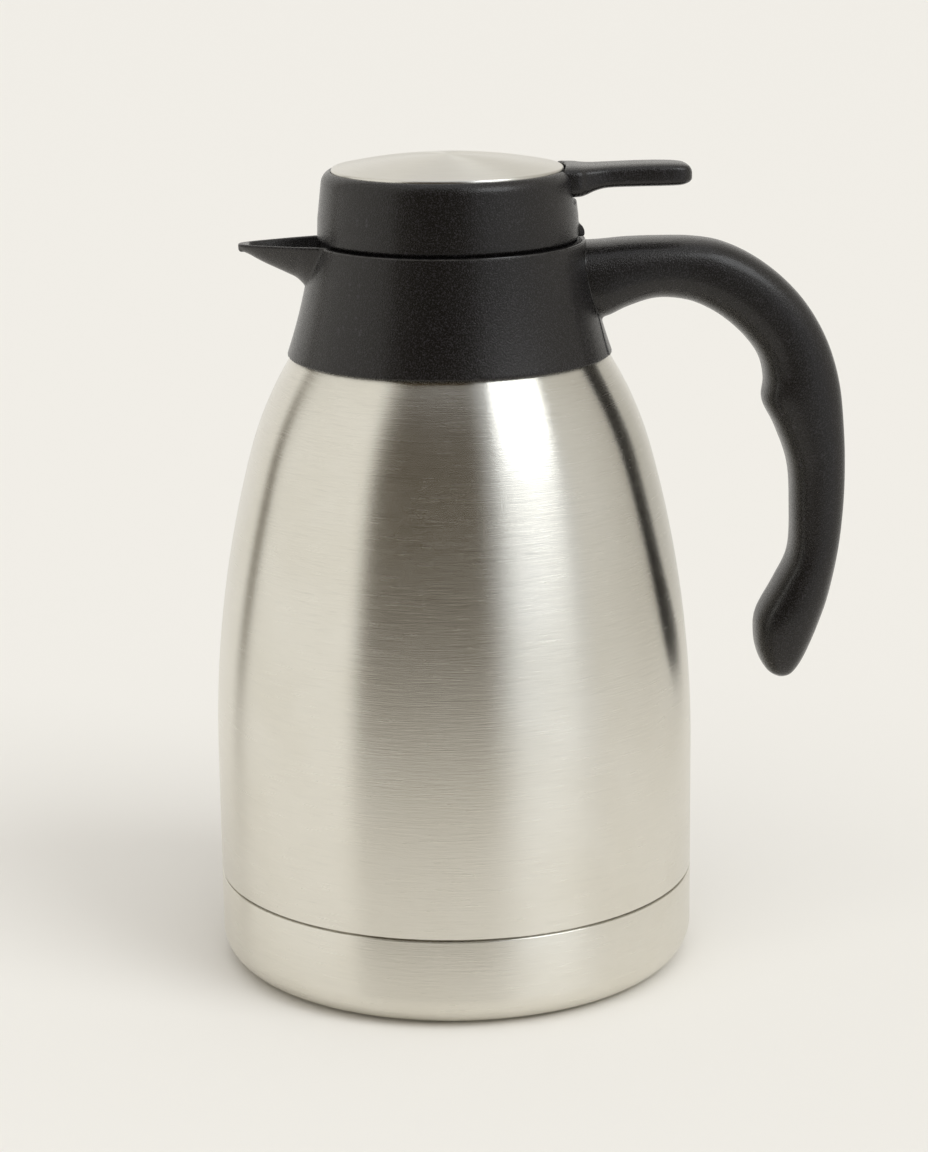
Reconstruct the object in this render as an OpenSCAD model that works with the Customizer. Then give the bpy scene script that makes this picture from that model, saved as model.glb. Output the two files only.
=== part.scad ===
// Vacuum carafe with a screw-in pouring stopper and a thumb lever.
// The origin is the centre of the base on the table, +Z up, the handle towards +X and the spout towards -X.

/* [Flask] */
// Outside radius of the flask's straight side
body_r = 68; // [64:0.5:74]
// Height where the straight side ends
body_straight_top = 62; // [50:1:75]
// Height where the side's slow curve meets the shoulder
shoulder_start = 148; // [140:1:156]
// Radius of the slow curve of the side
side_arc_r = 322; // [300:1:360]
// Radius of the shoulder's curve
shoulder_arc_r = 100; // [94:1:110]
// Outside radius of the steel neck
neck_r = 34.5; // [33:0.1:36]
// Height of the straight neck
neck_h = 6.7; // [6.5:0.1:9]
// Width of the steel lip, from the neck in to the mouth
lip_w = 7.5; // [6.5:0.1:8.5]
// Sheet thickness of the outer shell
shell_wall = 0.6; // [0.5:0.05:1]
// Sheet thickness of the inner liner
liner_wall = 0.5; // [0.4:0.05:0.8]
// Evacuated gap between the shell and the liner
vacuum_gap = 5.8; // [4:0.1:6.5]
// Underside of the liner's floor above the table
liner_floor = 20; // [18:0.5:26]
// Radius of the liner's bottom corner
liner_corner_r = 22; // [12:1:30]
// Height of the weld between the liner's wall and its shoulder
liner_weld_z = 112; // [100:1:130]
// Height of the outer flask's weld, which the brushing hides
shell_weld_z = 118; // [100:1:140]
// How far the bead on the neck stands out
bead_r = 0.9; // [0.5:0.1:1]

/* [Base] */
// Height of the base cup
cup_h = 25.7; // [20:0.1:32]
// Sheet thickness of the base cup
cup_wall = 0.9; // [0.6:0.05:1.2]
// Radius of the base cup's bottom corner
cup_corner_r = 9; // [5:0.5:14]
// Width of the dark joint between the cup and the shell
seam_gap = 0.6; // [0.3:0.1:1.5]
// Radial clearance of the shell's skirt in the cup
cup_fit = 0.2; // [0.1:0.05:0.5]
// Radius of the rolled groove under the cup
foot_groove_r = 46; // [30:1:52]
// Lower edge of the shell's skirt above the table
skirt_z = 12; // [9:0.5:14]
// Radius of the evacuation hole
evac_hole_r = 2; // [1:0.5:4]
// Radius of the sealing button over that hole
evac_button_r = 6; // [5:0.5:10]
// Radius of the getter under the liner
getter_r = 9; // [5:1:14]
// Thickness of the getter
getter_t = 1.4; // [0.8:0.1:2.5]

/* [Collar and spout] */
// How far the collar's top edge stands out from the steel neck
collar_lap = 3.4; // [3:0.1:5]
// Width of the collar's lower edge
collar_foot_w = 1.2; // [0.8:0.1:2]
// Clearance between that edge and the steel shoulder
collar_foot_fit = 0.18; // [0.1:0.02:0.5]
// Width of the collar's rim, from its top edge in to the pouring channel
collar_rim_w = 2.3; // [1.8:0.1:2.7]
// Height of the collar
collar_h = 31.5; // [30.8:0.1:32]
// Radius of the collar's hollow flare
collar_flare_r = 150; // [120:5:300]
// Wall of the collar
collar_wall = 2.2; // [1.8:0.1:2.6]
// Height of the collar's top edge above its web
channel_h = 8.8; // [8.5:0.1:11]
// Thickness of the web over the steel lip
web_t = 1.8; // [1.2:0.1:2.5]
// Thickness of the gasket on the steel lip
gasket_t = 1.2; // [0.8:0.1:2]
// How far the spout reaches past the collar's top edge
spout_reach = 20.2; // [16:0.1:28]
// Half width of the spout where it leaves the collar
spout_half_w = 13.2; // [10:0.1:16]
// Depth of the spout's keel inside the collar
spout_depth = 20; // [16:0.5:22]
// Wall of the spout
spout_wall = 1.6; // [1.2:0.1:2.2]
// Radius of the drip bead under the spout's tip
drip_r = 0.9; // [0.5:0.1:1.2]

/* [Handle] */
// How far the handle reaches out from the collar's top edge
handle_reach = 74.5; // [66:0.5:84]
// How far the handle's end hangs below the collar's top edge
handle_drop = 129; // [115:1:140]
// Height of the handle's root on the collar
handle_root_h = 21.4; // [18:0.1:24]
// Half width of the handle where it meets the collar
handle_root_w = 12.8; // [11:0.1:15]
// Half width of the handle's grip
handle_grip_w = 11; // [8:0.1:14]
// Depth of the handle's seat in the collar's wall
saddle_t = 1.2; // [0.8:0.1:1.5]
// Joint between the handle's seat and the collar
saddle_gap = 0.1; // [0.05:0.05:0.3]
// Half width of the handle's tail at the collar's lower edge
tail_half_w = 13.8; // [10:0.1:18]
// Distance of each handle screw from the middle
handle_screw_y = 6; // [4:0.1:7]
// Shank radius of the handle screws
handle_screw_r = 1.5; // [1:0.1:1.8]
// Length of the handle screws under the head
handle_screw_l = 14; // [8:0.5:16]
// Head radius of the handle screws
handle_screw_head_r = 2.9; // [2.5:0.1:3.2]

/* [Stopper] */
// How far the cap's lower edge stands back from the collar's top edge
cap_inset = 1.6; // [1:0.1:2]
// How much the cap's side leans in over its height
cap_draft = 1.3; // [0.5:0.1:2]
// Wall of the cap
cap_wall = 2.2; // [1.8:0.1:2.4]
// Open joint between the cap and the collar
cap_gap = 0.6; // [0.4:0.1:1]
// Height of the cap's side
cap_h = 19.3; // [18:0.1:21]
// Radius of the cap's rounded shoulder
cap_shoulder_r = 4; // [3:0.1:4.5]
// Thickness of the cap's floor
cap_floor_t = 2; // [1.5:0.1:3]
// Width of the cap's floor inside the ring of its screws
cap_floor_w = 5.5; // [5:0.1:9]
// Room beside the plug's upper barrel for its lugs and the collar's ribs
lug_room = 4.1; // [3.6:0.1:4.6]
// Radial clearance between the plug's lower barrel and the mouth
plug_fit = 1.4; // [1:0.1:2]
// Radial clearance between the plug's flange and the collar
flange_fit = 0.6; // [0.3:0.1:1]
// Thickness of the plug's flange
flange_t = 2.4; // [1.8:0.1:3]
// Wall of the plug
plug_wall = 3.6; // [3.2:0.1:4]
// Height of the plug's lower barrel
barrel_h = 14.7; // [13.5:0.1:18]
// Height of the sealing ring
seal_h = 3.6; // [2:0.1:4.5]
// Radial clearance of the sealing ring in the mouth
seal_fit = 0.3; // [0.2:0.05:0.6]
// Depth of the sealing ring's groove
seal_groove_d = 1.9; // [1.4:0.1:2.2]
// Rise of the stopper in one turn
screw_lead = 30; // [24:1:36]
// Number of lugs on the stopper
lugs = 3; // [2:1:3]
// Thickness of a lug
lug_t = 1.5; // [1:0.1:1.8]
// Angle that a lug spans
lug_span = 26; // [16:1:28]
// Clearance between a lug and the rib over it
lug_fit = 0.3; // [0.2:0.05:0.4]
// Shank radius of the screws that hold the plug to the cap
cap_screw_r = 1.5; // [1:0.1:1.8]
// Distance of those screws from the side of the upper barrel
cap_screw_inset = 6; // [5.5:0.1:7]
// Length of those screws under the head
cap_screw_l = 8; // [5:0.5:9]
// Half width of the tab at the back of the cap
tab_half_w = 5; // [3:0.5:8]

/* [Top disc] */
// How far the steel disc's edge stands in from the top of the cap's side
disc_inset = 2.85; // [2.6:0.05:3.5]
// Sheet thickness of the steel disc
disc_t = 0.6; // [0.4:0.05:0.7]
// Height of the disc's dome
disc_dome = 3.75; // [3.2:0.05:5]
// Radius of the disc's rolled edge
disc_roll_r = 0.55; // [0.4:0.05:0.7]
// Radial clearance of the disc in the cap
disc_fit = 0.2; // [0.1:0.05:0.3]

/* [Lever] */
// Length of the lever outside the cap
lever_reach = 31.4; // [24:0.1:38]
// Half width of the lever's thumb rest
lever_half_w = 7.5; // [5:0.1:9]
// Half width of the lever's root
lever_root_w = 11.2; // [10:0.1:12]
// Thickness of the lever's thumb rest
lever_t = 6.3; // [5:0.1:7]
// Height of the lever's back above the cap's edge
lever_rise = 0.45; // [0.3:0.05:1.5]
// Clearance beside the lever in the cap's notch
lever_fit = 0.4; // [0.3:0.1:0.6]
// Room under the lever's root in the notch
notch_room = 1; // [0.6:0.1:1.5]
// Distance of the lever's pin inside the disc's edge
pivot_inset = 2.65; // [2.3:0.05:3]
// Radius of the lever's pin
pin_r = 1.5; // [1:0.1:1.6]
// Running clearance of the lever on its pin
pin_fit = 0.05; // [0.02:0.01:0.1]

/* [Valve] */
// Radius of the valve's stem
stem_r = 2; // [1.5:0.1:2.4]
// Clearance of the stem in its guide
stem_fit = 0.08; // [0.05:0.01:0.1]
// Radius of the hole in the valve's seat
seat_hole_r = 8.5; // [6:0.1:10]
// Thickness of the valve's seat
seat_t = 2; // [1.5:0.1:3]
// How far the valve's disc laps over the hole in its seat
poppet_lap = 3.5; // [2.5:0.1:5]
// Thickness of the valve's disc
poppet_t = 3.2; // [2.5:0.1:3.6]
// Thickness of the valve's seal
poppet_seal_t = 1.2; // [0.8:0.1:1.6]
// Gap left between a seal and what it closes on
seal_gap = 0.2; // [0.15:0.05:0.3]
// Mean radius of the spring
spring_r = 6; // [5.2:0.1:8]
// Wire radius of the spring
wire_r = 0.5; // [0.3:0.05:0.6]
// Number of turns of the spring
spring_turns = 5; // [3:1:6]

/* [Hidden] */
$fn = 96;
steel = "#c9c6c0";
black = "#2c2b2e";
silicone = "#b9b4a8";
grey_plastic = "#5a5a5e";
// An overlap that only makes cuts run clear through
cut = 1;
// Steps that an arc of a turned profile is drawn with
arc_steps = 14;

// The side of the flask is a cylinder, a slow arc and a shoulder arc, each tangent to the last.
side_a = asin((shoulder_start - body_straight_top) / side_arc_r);
shoulder_x = body_r - side_arc_r * (1 - cos(side_a)) - shoulder_arc_r * cos(side_a);
shoulder_z = shoulder_start - shoulder_arc_r * sin(side_a);
// Heights on the neck
mouth_r = neck_r - lip_w;
neck_z = shoulder_z + shoulder_arc_r * sin(acos((neck_r - shoulder_x) / shoulder_arc_r));
lip_z = neck_z + neck_h;
lip_top = lip_z + liner_wall;
bead_z = neck_z + neck_h / 2 + 0.4;
// Base
seam_top = cup_h + seam_gap;
skirt_r = body_r - cup_wall - cup_fit;
liner_gap = shell_wall + vacuum_gap;
liner_r = body_r - liner_gap;
liner_corner_x = liner_r - liner_corner_r;
liner_corner_z = liner_floor + liner_corner_r;
bottom_t = 0.8;
bottom_rim_h = 5;
evac_button_t = 0.9;
// Collar heights, counted up from the steel lip
web_z = lip_top + gasket_t;
channel_z = web_z + web_t;
collar_top = channel_z + channel_h;
collar_foot = collar_top - collar_h;
collar_top_r = neck_r + collar_lap;
shoulder_r_there = shoulder_x + sqrt(pow(shoulder_arc_r, 2) - pow(collar_foot - shoulder_z, 2));
collar_foot_r = shoulder_r_there + collar_foot_fit + collar_foot_w;
channel_r = collar_top_r - collar_rim_w;
web_hole_r = mouth_r + 0.5;
// The collar's inner skirt goes down round the neck and snaps under its bead
snap_fit = 0.3;
neck_skirt_r = neck_r + bead_r + snap_fit;
neck_skirt_t = 1.8;
neck_skirt_z = neck_z + 1.8;
snap_rib_h = 0.8;
// Spout
spout_top = collar_top + 0.3;
spout_tip_x = -collar_top_r - spout_reach;
// Handle seat and screws, and where the cuts for the seat start and end along X
handle_root_top = collar_top - 1.2;
handle_root_foot = handle_root_top - handle_root_h;
wall_cut_x = neck_r - 6;
wall_cut_l = collar_foot_r + 4 - wall_cut_x;
screw_boss_depth = 3.2;
handle_screw_z = web_z - screw_boss_depth - 0.8;
handle_head_t = 1.8;
handle_head_x = neck_skirt_r + 0.4;
// Stopper heights, counted up from the collar's top edge
cap_z = collar_top + cap_gap;
flange_top = cap_z - 0.2;
flange_z = flange_top - flange_t;
flange_r = channel_r - flange_fit;
plug_upper_r = channel_r - lug_room;
upper_z = channel_z + 0.5;
barrel_r = mouth_r - plug_fit;
chamber_r = barrel_r - plug_wall;
barrel_z = upper_z - barrel_h;
upper_wall = 2.2;
upper_floor_t = 1.5;
seal_z = barrel_z + 3;
seal_groove_r = barrel_r - seal_groove_d;
cap_floor_top = flange_top + cap_floor_t;
cap_r = collar_top_r - cap_inset;
cap_side_top = cap_z + cap_h - cap_shoulder_r;
cap_side_r = cap_r - cap_draft;
cap_top = cap_z + cap_h;
cap_screw_ring = plug_upper_r - cap_screw_inset;
cap_opening_r = cap_screw_ring - cap_floor_w;
disc_r = cap_side_r - disc_inset;
disc_seat = cap_top - 1.2;
cap_screw_depth = 1.8;
cap_head_r = 2.7;
// Lever, counted from the cap's top edge
pivot_x = disc_r - pivot_inset;
pivot_z = cap_top - 6.3;
lever_root_t = lever_t * 1.41;
notch_z = cap_top + lever_rise - lever_root_t - notch_room;
notch_half_w = lever_root_w + lever_fit;
knuckle_r = pin_r + 1.1;
ear_t = 2.6;
pin_half_l = notch_half_w + ear_t + 0.4;
crest_r = 1.5;
crest_z = pivot_z - 2.4;
// Valve, counted up from its seat
seat_z = barrel_z;
seat_top = seat_z + seat_t;
seat_flange_t = 1.2;
poppet_r = seat_hole_r + poppet_lap;
poppet_seal_z = seat_top + seal_gap;
poppet_z = poppet_seal_z + poppet_seal_t;
poppet_top = poppet_z + poppet_t;
washer_t = 0.7;
poppet_nut_t = 2;
stem_z = poppet_seal_z - washer_t - poppet_nut_t - 0.3;
nut_z = crest_z + crest_r + 0.3;
nut_t = 2.2;
nut_r = 4.5;
stem_top = nut_z + nut_t + 0.4;
guide_r = 4.2;
guide_l = 4;

// Points of an arc round [x, z] from angle a to angle b
function arc(x, z, r, a, b, n = arc_steps) =
    [for (i = [0:n]) [x + r * cos(a + (b - a) * i / n), z + r * sin(a + (b - a) * i / n)]];

// The flask's side, moved in by t: its slow curve between two angles, then its shoulder up to radius end_r
function slow_side(t, a, b) = arc(body_r - side_arc_r, body_straight_top, side_arc_r - t, a, b);
function shoulder_side(t, end_r) =
    arc(shoulder_x, shoulder_z, shoulder_arc_r - t, side_a + 1, acos((end_r - shoulder_x) / (shoulder_arc_r - t)));
// Angle of the slow curve, moved in by t, at height z
function side_at(z, t) = asin((z - body_straight_top) / (side_arc_r - t));

function reversed(list) = [for (i = [len(list) - 1:-1:0]) list[i]];

// The collar's outside, moved in by t: a hollow arc from the lower edge to the top edge
collar_chord = [collar_top_r - collar_foot_r, collar_h];
collar_half = norm(collar_chord) / 2;
collar_out = [collar_chord.y, -collar_chord.x] / norm(collar_chord);
collar_mid = [(collar_top_r + collar_foot_r) / 2, collar_foot + collar_h / 2];
collar_centre = collar_mid + collar_out * sqrt(pow(collar_flare_r, 2) - pow(collar_half, 2));
collar_tilt = atan2(collar_out.y, collar_out.x) + 180;
collar_spread = asin(collar_half / collar_flare_r);
function collar_side(t, n = 10) =
    [for (i = [0:n])
        let (a = collar_tilt + collar_spread * (1 - 2 * i / n))
        collar_centre + (collar_flare_r + t) * [cos(a), sin(a)]];

// A closed skin over rings of points, each ring with as many points as the next
module skin(rings) {
    n = len(rings[0]);
    m = len(rings);
    sides = [for (i = [0:m - 2]) for (j = [0:n - 1])
        let (a = i * n + j, b = i * n + (j + 1) % n, c = b + n, d = a + n)
        each [[a, b, c], [a, c, d]]];
    first_end = [for (j = [1:n - 2]) [0, j + 1, j]];
    last_end = [for (j = [1:n - 2]) [(m - 1) * n, (m - 1) * n + j, (m - 1) * n + j + 1]];
    polyhedron([for (ring = rings) each ring], concat(first_end, sides, last_end));
}

// One coordinate of a round-edged outline: a power below 1 squares the ellipse
function squared(v, power) = sign(v) * pow(abs(v), power);

// Values between stations on a smooth curve through them
function between(a, b, c, d, t) =
    0.5 * (2 * b + (c - a) * t + (2 * a - 5 * b + 4 * c - d) * t * t + (3 * b - a - 3 * c + d) * t * t * t);
function smoothed(list, n) =
    let (last = len(list) - 1)
    concat(
        [for (i = [0:last - 1]) for (k = [0:n - 1])
            between(list[max(i - 1, 0)], list[i], list[i + 1], list[min(i + 2, last)], k / n)],
        [list[last]]
    );

// A rib that climbs as the stopper's screw does, from radius r1 to r2, its middle at height z
module climbing_rib(r1, r2, z, mid_a, span) {
    steps = 8;
    skin([for (i = [0:steps])
        let (a = mid_a + span * (i / steps - 0.5), h = z + screw_lead * (a - mid_a) / 360)
        [for (p = [[r1, -lug_t / 2], [r2, -lug_t / 2], [r2, lug_t / 2], [r1, lug_t / 2]])
            [p.x * cos(a), p.x * sin(a), h + p.y]]]);
}

module pan_screw(shank_r, length, head_r, head_t) {
    cylinder(r = shank_r, h = length);
    translate([0, 0, -head_t])
        difference() {
            cylinder(r = head_r, h = head_t);
            for (a = [0, 90])
                rotate([0, 0, a])
                    translate([-head_r * 0.6, -0.35, -cut])
                        cube([head_r * 1.2, 0.7, cut + head_t * 0.5]);
        }
}

// Steel tube of the outer flask with its stepped skirt, up to the weld
module outer_shell() {
    weld_a = side_at(shell_weld_z, 0);
    inner_weld_a = side_at(shell_weld_z, shell_wall);
    color(steel)
        rotate_extrude()
            polygon(concat(
                [[skirt_r, skirt_z], [skirt_r, seam_top], [body_r, seam_top]],
                slow_side(0, 0, weld_a),
                reversed(slow_side(shell_wall, 0, inner_weld_a)),
                [[body_r - shell_wall, seam_top + shell_wall], [skirt_r - shell_wall, seam_top + shell_wall]],
                [[skirt_r - shell_wall, skirt_z]]
            ));
}

// Drawn shoulder and neck of the outer flask, from the weld up, with the bead that holds the collar
module shell_shoulder() {
    weld_a = side_at(shell_weld_z, 0);
    inner_weld_a = side_at(shell_weld_z, shell_wall);
    color(steel) {
        rotate_extrude()
            polygon(concat(
                slow_side(0, weld_a, side_a),
                shoulder_side(0, neck_r),
                [[neck_r, lip_z], [neck_r - shell_wall, lip_z]],
                reversed(shoulder_side(shell_wall, neck_r - shell_wall)),
                reversed(slow_side(shell_wall, inner_weld_a, side_a))
            ));
        rotate_extrude() translate([neck_r - 0.1, bead_z]) circle(r = bead_r, $fn = 32);
    }
}

// Shoulder of the steel liner, from its weld up to the lip that is welded to the neck
module liner_shoulder() {
    mouth_out = mouth_r + liner_wall;
    in_t = liner_gap + liner_wall;
    color(steel)
        rotate_extrude()
            polygon(concat(
                slow_side(liner_gap, side_at(liner_weld_z, liner_gap), side_a),
                shoulder_side(liner_gap, mouth_out),
                [[mouth_out, lip_z], [neck_r, lip_z], [neck_r, lip_top], [mouth_r, lip_top]],
                reversed(shoulder_side(in_t, mouth_r)),
                reversed(slow_side(in_t, side_at(liner_weld_z, in_t), side_a))
            ));
}

// Wall of the steel liner between its two welds
module inner_liner() {
    in_t = liner_gap + liner_wall;
    color(steel)
        rotate_extrude()
            polygon(concat(
                [[liner_r, liner_corner_z]],
                slow_side(liner_gap, 0, side_at(liner_weld_z, liner_gap)),
                reversed(slow_side(in_t, 0, side_at(liner_weld_z, in_t))),
                [[liner_r - liner_wall, liner_corner_z]]
            ));
}

// Rounded floor that is welded under the liner's wall
module liner_bottom() {
    color(steel)
        rotate_extrude()
            polygon(concat(
                [[0, liner_floor]],
                arc(liner_corner_x, liner_corner_z, liner_corner_r, -90, 0, 8),
                arc(liner_corner_x, liner_corner_z, liner_corner_r - liner_wall, 0, -90, 8),
                [[0, liner_floor + liner_wall]]
            ));
}

// Pressed plate that closes the shell's skirt under the vacuum
module outer_bottom() {
    r = skirt_r - shell_wall;
    color(steel)
        difference() {
            rotate_extrude()
                polygon([
                    [0, skirt_z], [r, skirt_z], [r, skirt_z + bottom_rim_h],
                    [r - bottom_t, skirt_z + bottom_rim_h], [r - bottom_t, skirt_z + bottom_t],
                    [0, skirt_z + bottom_t]
                ]);
            translate([0, 0, skirt_z - cut])
                cylinder(r = evac_hole_r, h = bottom_t + 2 * cut);
        }
}

// Button that seals the hole through which the air was drawn
module evacuation_seal() {
    color(steel) {
        translate([0, 0, skirt_z - evac_button_t])
            cylinder(r = evac_button_r, h = evac_button_t);
        translate([0, 0, skirt_z - 0.1])
            cylinder(r = evac_hole_r, h = bottom_t + 0.1);
    }
}

// Getter tablet under the liner, which keeps the vacuum
module getter() {
    color(grey_plastic)
        translate([0, 0, liner_floor - getter_t])
            cylinder(r = getter_r, h = getter_t);
}

// Steel cup over the bottom, with a rolled groove inside its flat rest
module base_cup() {
    corner_x = body_r - cup_corner_r;
    color(steel)
        difference() {
            rotate_extrude()
                polygon(concat(
                    [[0, 0]],
                    arc(corner_x, cup_corner_r, cup_corner_r, -90, 0, 10),
                    [[body_r, cup_h], [body_r - cup_wall, cup_h]],
                    arc(corner_x, cup_corner_r, cup_corner_r - cup_wall, 0, -90, 10),
                    [[0, cup_wall]]
                ));
            rotate_extrude() translate([foot_groove_r, 0]) circle(r = cup_wall * 0.5, $fn = 32);
        }
}

// The collar's outer form as a solid, moved in by t
module collar_form(t) {
    side = collar_side(t);
    rotate_extrude()
        polygon(concat([[0, collar_foot - cut], [side[0].x, collar_foot - cut]], side,
            [[side[len(side) - 1].x, collar_top + cut], [0, collar_top + cut]]));
}

// Outline of the handle's seat on the collar, grown by a clearance: the round root and the tail under it
root_mid = (handle_root_top + handle_root_foot) / 2;
ring_points = 24;
ring_power = 0.8;
module root_prism(grown) {
    root = [for (i = [0:ring_points - 1])
        let (a = 360 * i / ring_points)
        [(handle_root_w + grown) * squared(cos(a), ring_power),
            root_mid + (handle_root_h / 2 + grown) * squared(sin(a), ring_power)]];
    translate([wall_cut_x, 0, 0])
        rotate([90, 0, 90])
            linear_extrude(height = wall_cut_l) polygon(root);
}

module tail_prism(grown, foot) {
    tail_top = handle_root_foot + 6;
    top_half_w = handle_root_w * 0.72 + grown;
    translate([wall_cut_x, 0, 0])
        rotate([90, 0, 90])
            linear_extrude(height = wall_cut_l)
                polygon([
                    [-tail_half_w - grown, foot], [tail_half_w + grown, foot],
                    [top_half_w, tail_top], [-top_half_w, tail_top]
                ]);
}

// Stations of the spout from inside the collar to the tip: parts of its reach, of its width and of its depth
spout_stations = [
    [-0.30, 1.08, 1.000], [-0.10, 1.00, 0.840], [0.10, 0.89, 0.610], [0.21, 0.83, 0.495], [0.32, 0.76, 0.435],
    [0.50, 0.63, 0.345], [0.68, 0.50, 0.255], [0.84, 0.37, 0.160], [0.95, 0.25, 0.105], [1.00, 0.14, 0.080]
];
spout_tip_t = spout_depth * 0.08;
function spout_ring(s, wall, lift) =
    let (
        x = -collar_top_r - spout_reach * s[0],
        half = spout_half_w * s[1] - wall,
        keel = spout_top - spout_depth * s[2] + wall,
        n = 12
    )
    concat(
        [for (i = [0:n])
            let (u = 2 * i / n - 1)
            [x, half * u, keel + (spout_top - keel) * pow(abs(u), 1.7)]],
        [[x, half, spout_top + lift], [x, -half, spout_top + lift]]
    );

module spout_form() {
    skin([for (s = smoothed(spout_stations, 2)) spout_ring(s, 0, 0.001)]);
}

module spout_trough() {
    inner_stations = [for (s = spout_stations) if (s[0] < 0.9) s];
    inside_start = [[-0.55, 1.1, 1]];
    deepest = (spout_top - channel_z + spout_wall) / spout_depth;
    skin([for (s = smoothed(concat(inside_start, inner_stations), 2))
        spout_ring([s[0], s[1], min(s[2], deepest)], spout_wall, cut)]);
}

// Black collar: flared wall, web on the steel lip, snap skirt, pouring channel, ribs and spout
module collar() {
    side = collar_side(0);
    inner = collar_side(collar_wall);
    under_web = [for (p = inner) if (p.y > collar_foot + 3 && p.y < web_z - 1) p];
    color(black)
        difference() {
            union() {
                rotate_extrude()
                    polygon(concat(
                        [[side[0].x - collar_foot_w, collar_foot]],
                        [[side[0].x - 0.4, collar_foot]],
                        [[side[0].x, collar_foot + 0.5]],
                        [for (i = [1:len(side) - 2]) side[i]],
                        [[collar_top_r + 0.1, collar_top - 0.4], [collar_top_r - 0.3, collar_top]],
                        [[channel_r, collar_top], [channel_r, channel_z]],
                        [[web_hole_r, channel_z], [web_hole_r, web_z]],
                        [[neck_skirt_r, web_z], [neck_skirt_r, neck_skirt_z]],
                        [[neck_skirt_r + neck_skirt_t, neck_skirt_z], [neck_skirt_r + neck_skirt_t, web_z]],
                        reversed(under_web)
                    ));
                difference() {
                    spout_form();
                    translate([0, 0, collar_foot - cut])
                        cylinder(r = channel_r + 0.5, h = collar_h + 3 * cut);
                }
                translate([spout_tip_x + drip_r, 0, spout_top - spout_tip_t])
                    sphere(r = drip_r, $fn = 24);
                // Block that the handle's screws pull against
                intersection() {
                    difference() {
                        collar_form(0.3);
                        translate([0, 0, collar_foot - 2 * cut])
                            cylinder(r = neck_skirt_r, h = collar_h + 4 * cut);
                    }
                    translate([0, -handle_root_w * 0.85, neck_skirt_z])
                        cube([collar_foot_r, handle_root_w * 1.7, web_z - neck_skirt_z + web_t / 2]);
                }
                // Rib that snaps under the neck's bead
                translate([0, 0, bead_z - bead_r - snap_fit - snap_rib_h])
                    difference() {
                        cylinder(r = neck_skirt_r + 0.4, h = snap_rib_h);
                        translate([0, 0, -cut])
                            cylinder(r = neck_r + snap_fit, h = snap_rib_h + 2 * cut);
                    }
                for (i = [0:lugs - 1])
                    climbing_rib(plug_upper_r + lug_t, channel_r + 0.5, lug_z + lug_t + lug_fit,
                        i * 360 / lugs, lug_span);
            }
            spout_trough();
            // Seat of the handle in the wall
            difference() {
                union() {
                    root_prism(saddle_gap);
                    tail_prism(saddle_gap, collar_foot - cut);
                }
                collar_form(saddle_t + saddle_gap);
            }
            for (y = [-handle_screw_y, handle_screw_y])
                translate([handle_head_x, y, handle_screw_z])
                    rotate([0, 90, 0]) {
                        cylinder(r = handle_screw_r + 0.1, h = handle_screw_l + 6);
                        translate([0, 0, -handle_head_t * 2])
                            cylinder(r = handle_screw_head_r + 0.2, h = handle_head_t * 3);
                    }
        }
}

// Ring between the steel lip and the collar's web
module collar_gasket() {
    color(silicone)
        translate([0, 0, lip_top])
            difference() {
                cylinder(r = neck_r - 0.5, h = gasket_t);
                translate([0, 0, -cut])
                    cylinder(r = mouth_r + 1.5, h = gasket_t + 2 * cut);
            }
}

// The root's two sections, in real sizes from the collar's top edge: outer point, inner point and half width
root_in = -8;
root_out = 3;
root_stations = [
    for (x = [root_in, root_out])
        [[x, handle_root_top - collar_top], [x * 1.05, handle_root_foot - collar_top], handle_root_w]
];
// Stations of the handle past its root: outer and inner point as parts of its reach and of its drop from the
// collar's top edge, and half width as a part of the grip's
grip_stations = [
    [[0.161, -0.0047], [0.156, -0.1519], 1.109],
    [[0.282, -0.0039], [0.263, -0.1349], 1.045],
    [[0.411, -0.0062], [0.376, -0.1403], 1],
    [[0.523, -0.0186], [0.464, -0.1605], 1],
    [[0.644, -0.0519], [0.545, -0.1915], 1],
    [[0.760, -0.1031], [0.619, -0.2326], 1],
    [[0.854, -0.1659], [0.670, -0.2767], 1],
    [[0.928, -0.2442], [0.689, -0.3256], 1],
    [[0.974, -0.3357], [0.683, -0.3729], 1],
    [[0.995, -0.4419], [0.733, -0.4318], 0.964],
    [[1.000, -0.5271], [0.784, -0.5155], 0.927],
    [[0.996, -0.6124], [0.796, -0.6124], 0.909],
    [[0.979, -0.7093], [0.791, -0.7132], 0.909],
    [[0.945, -0.8062], [0.737, -0.7806], 0.927],
    [[0.911, -0.8682], [0.670, -0.8527], 0.945],
    [[0.874, -0.9225], [0.662, -0.9070], 0.909],
    [[0.842, -0.9612], [0.678, -0.9512], 0.8],
    [[0.809, -0.9884], [0.710, -0.9845], 0.582],
    [[0.780, -1.0000], [0.749, -0.9992], 0.255]
];
handle_size = [handle_reach, handle_drop];
function sized(p) = [p.x * handle_size.x, p.y * handle_size.y];
handle_stations = concat(
    root_stations,
    [for (s = grip_stations) [sized(s[0]), sized(s[1]), s[2] * handle_grip_w]]
);
handle_steps = 2;
function handle_ring(s) =
    let (
        mid = (s[0] + s[1]) / 2,
        half = (s[0] - s[1]) / 2
    )
    [for (i = [0:ring_points - 1])
        let (
            a = -360 * i / ring_points,
            p = mid + half * squared(sin(a), ring_power)
        )
        [collar_top_r + p.x, s[2] * squared(cos(a), ring_power), collar_top + p.y]];

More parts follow.
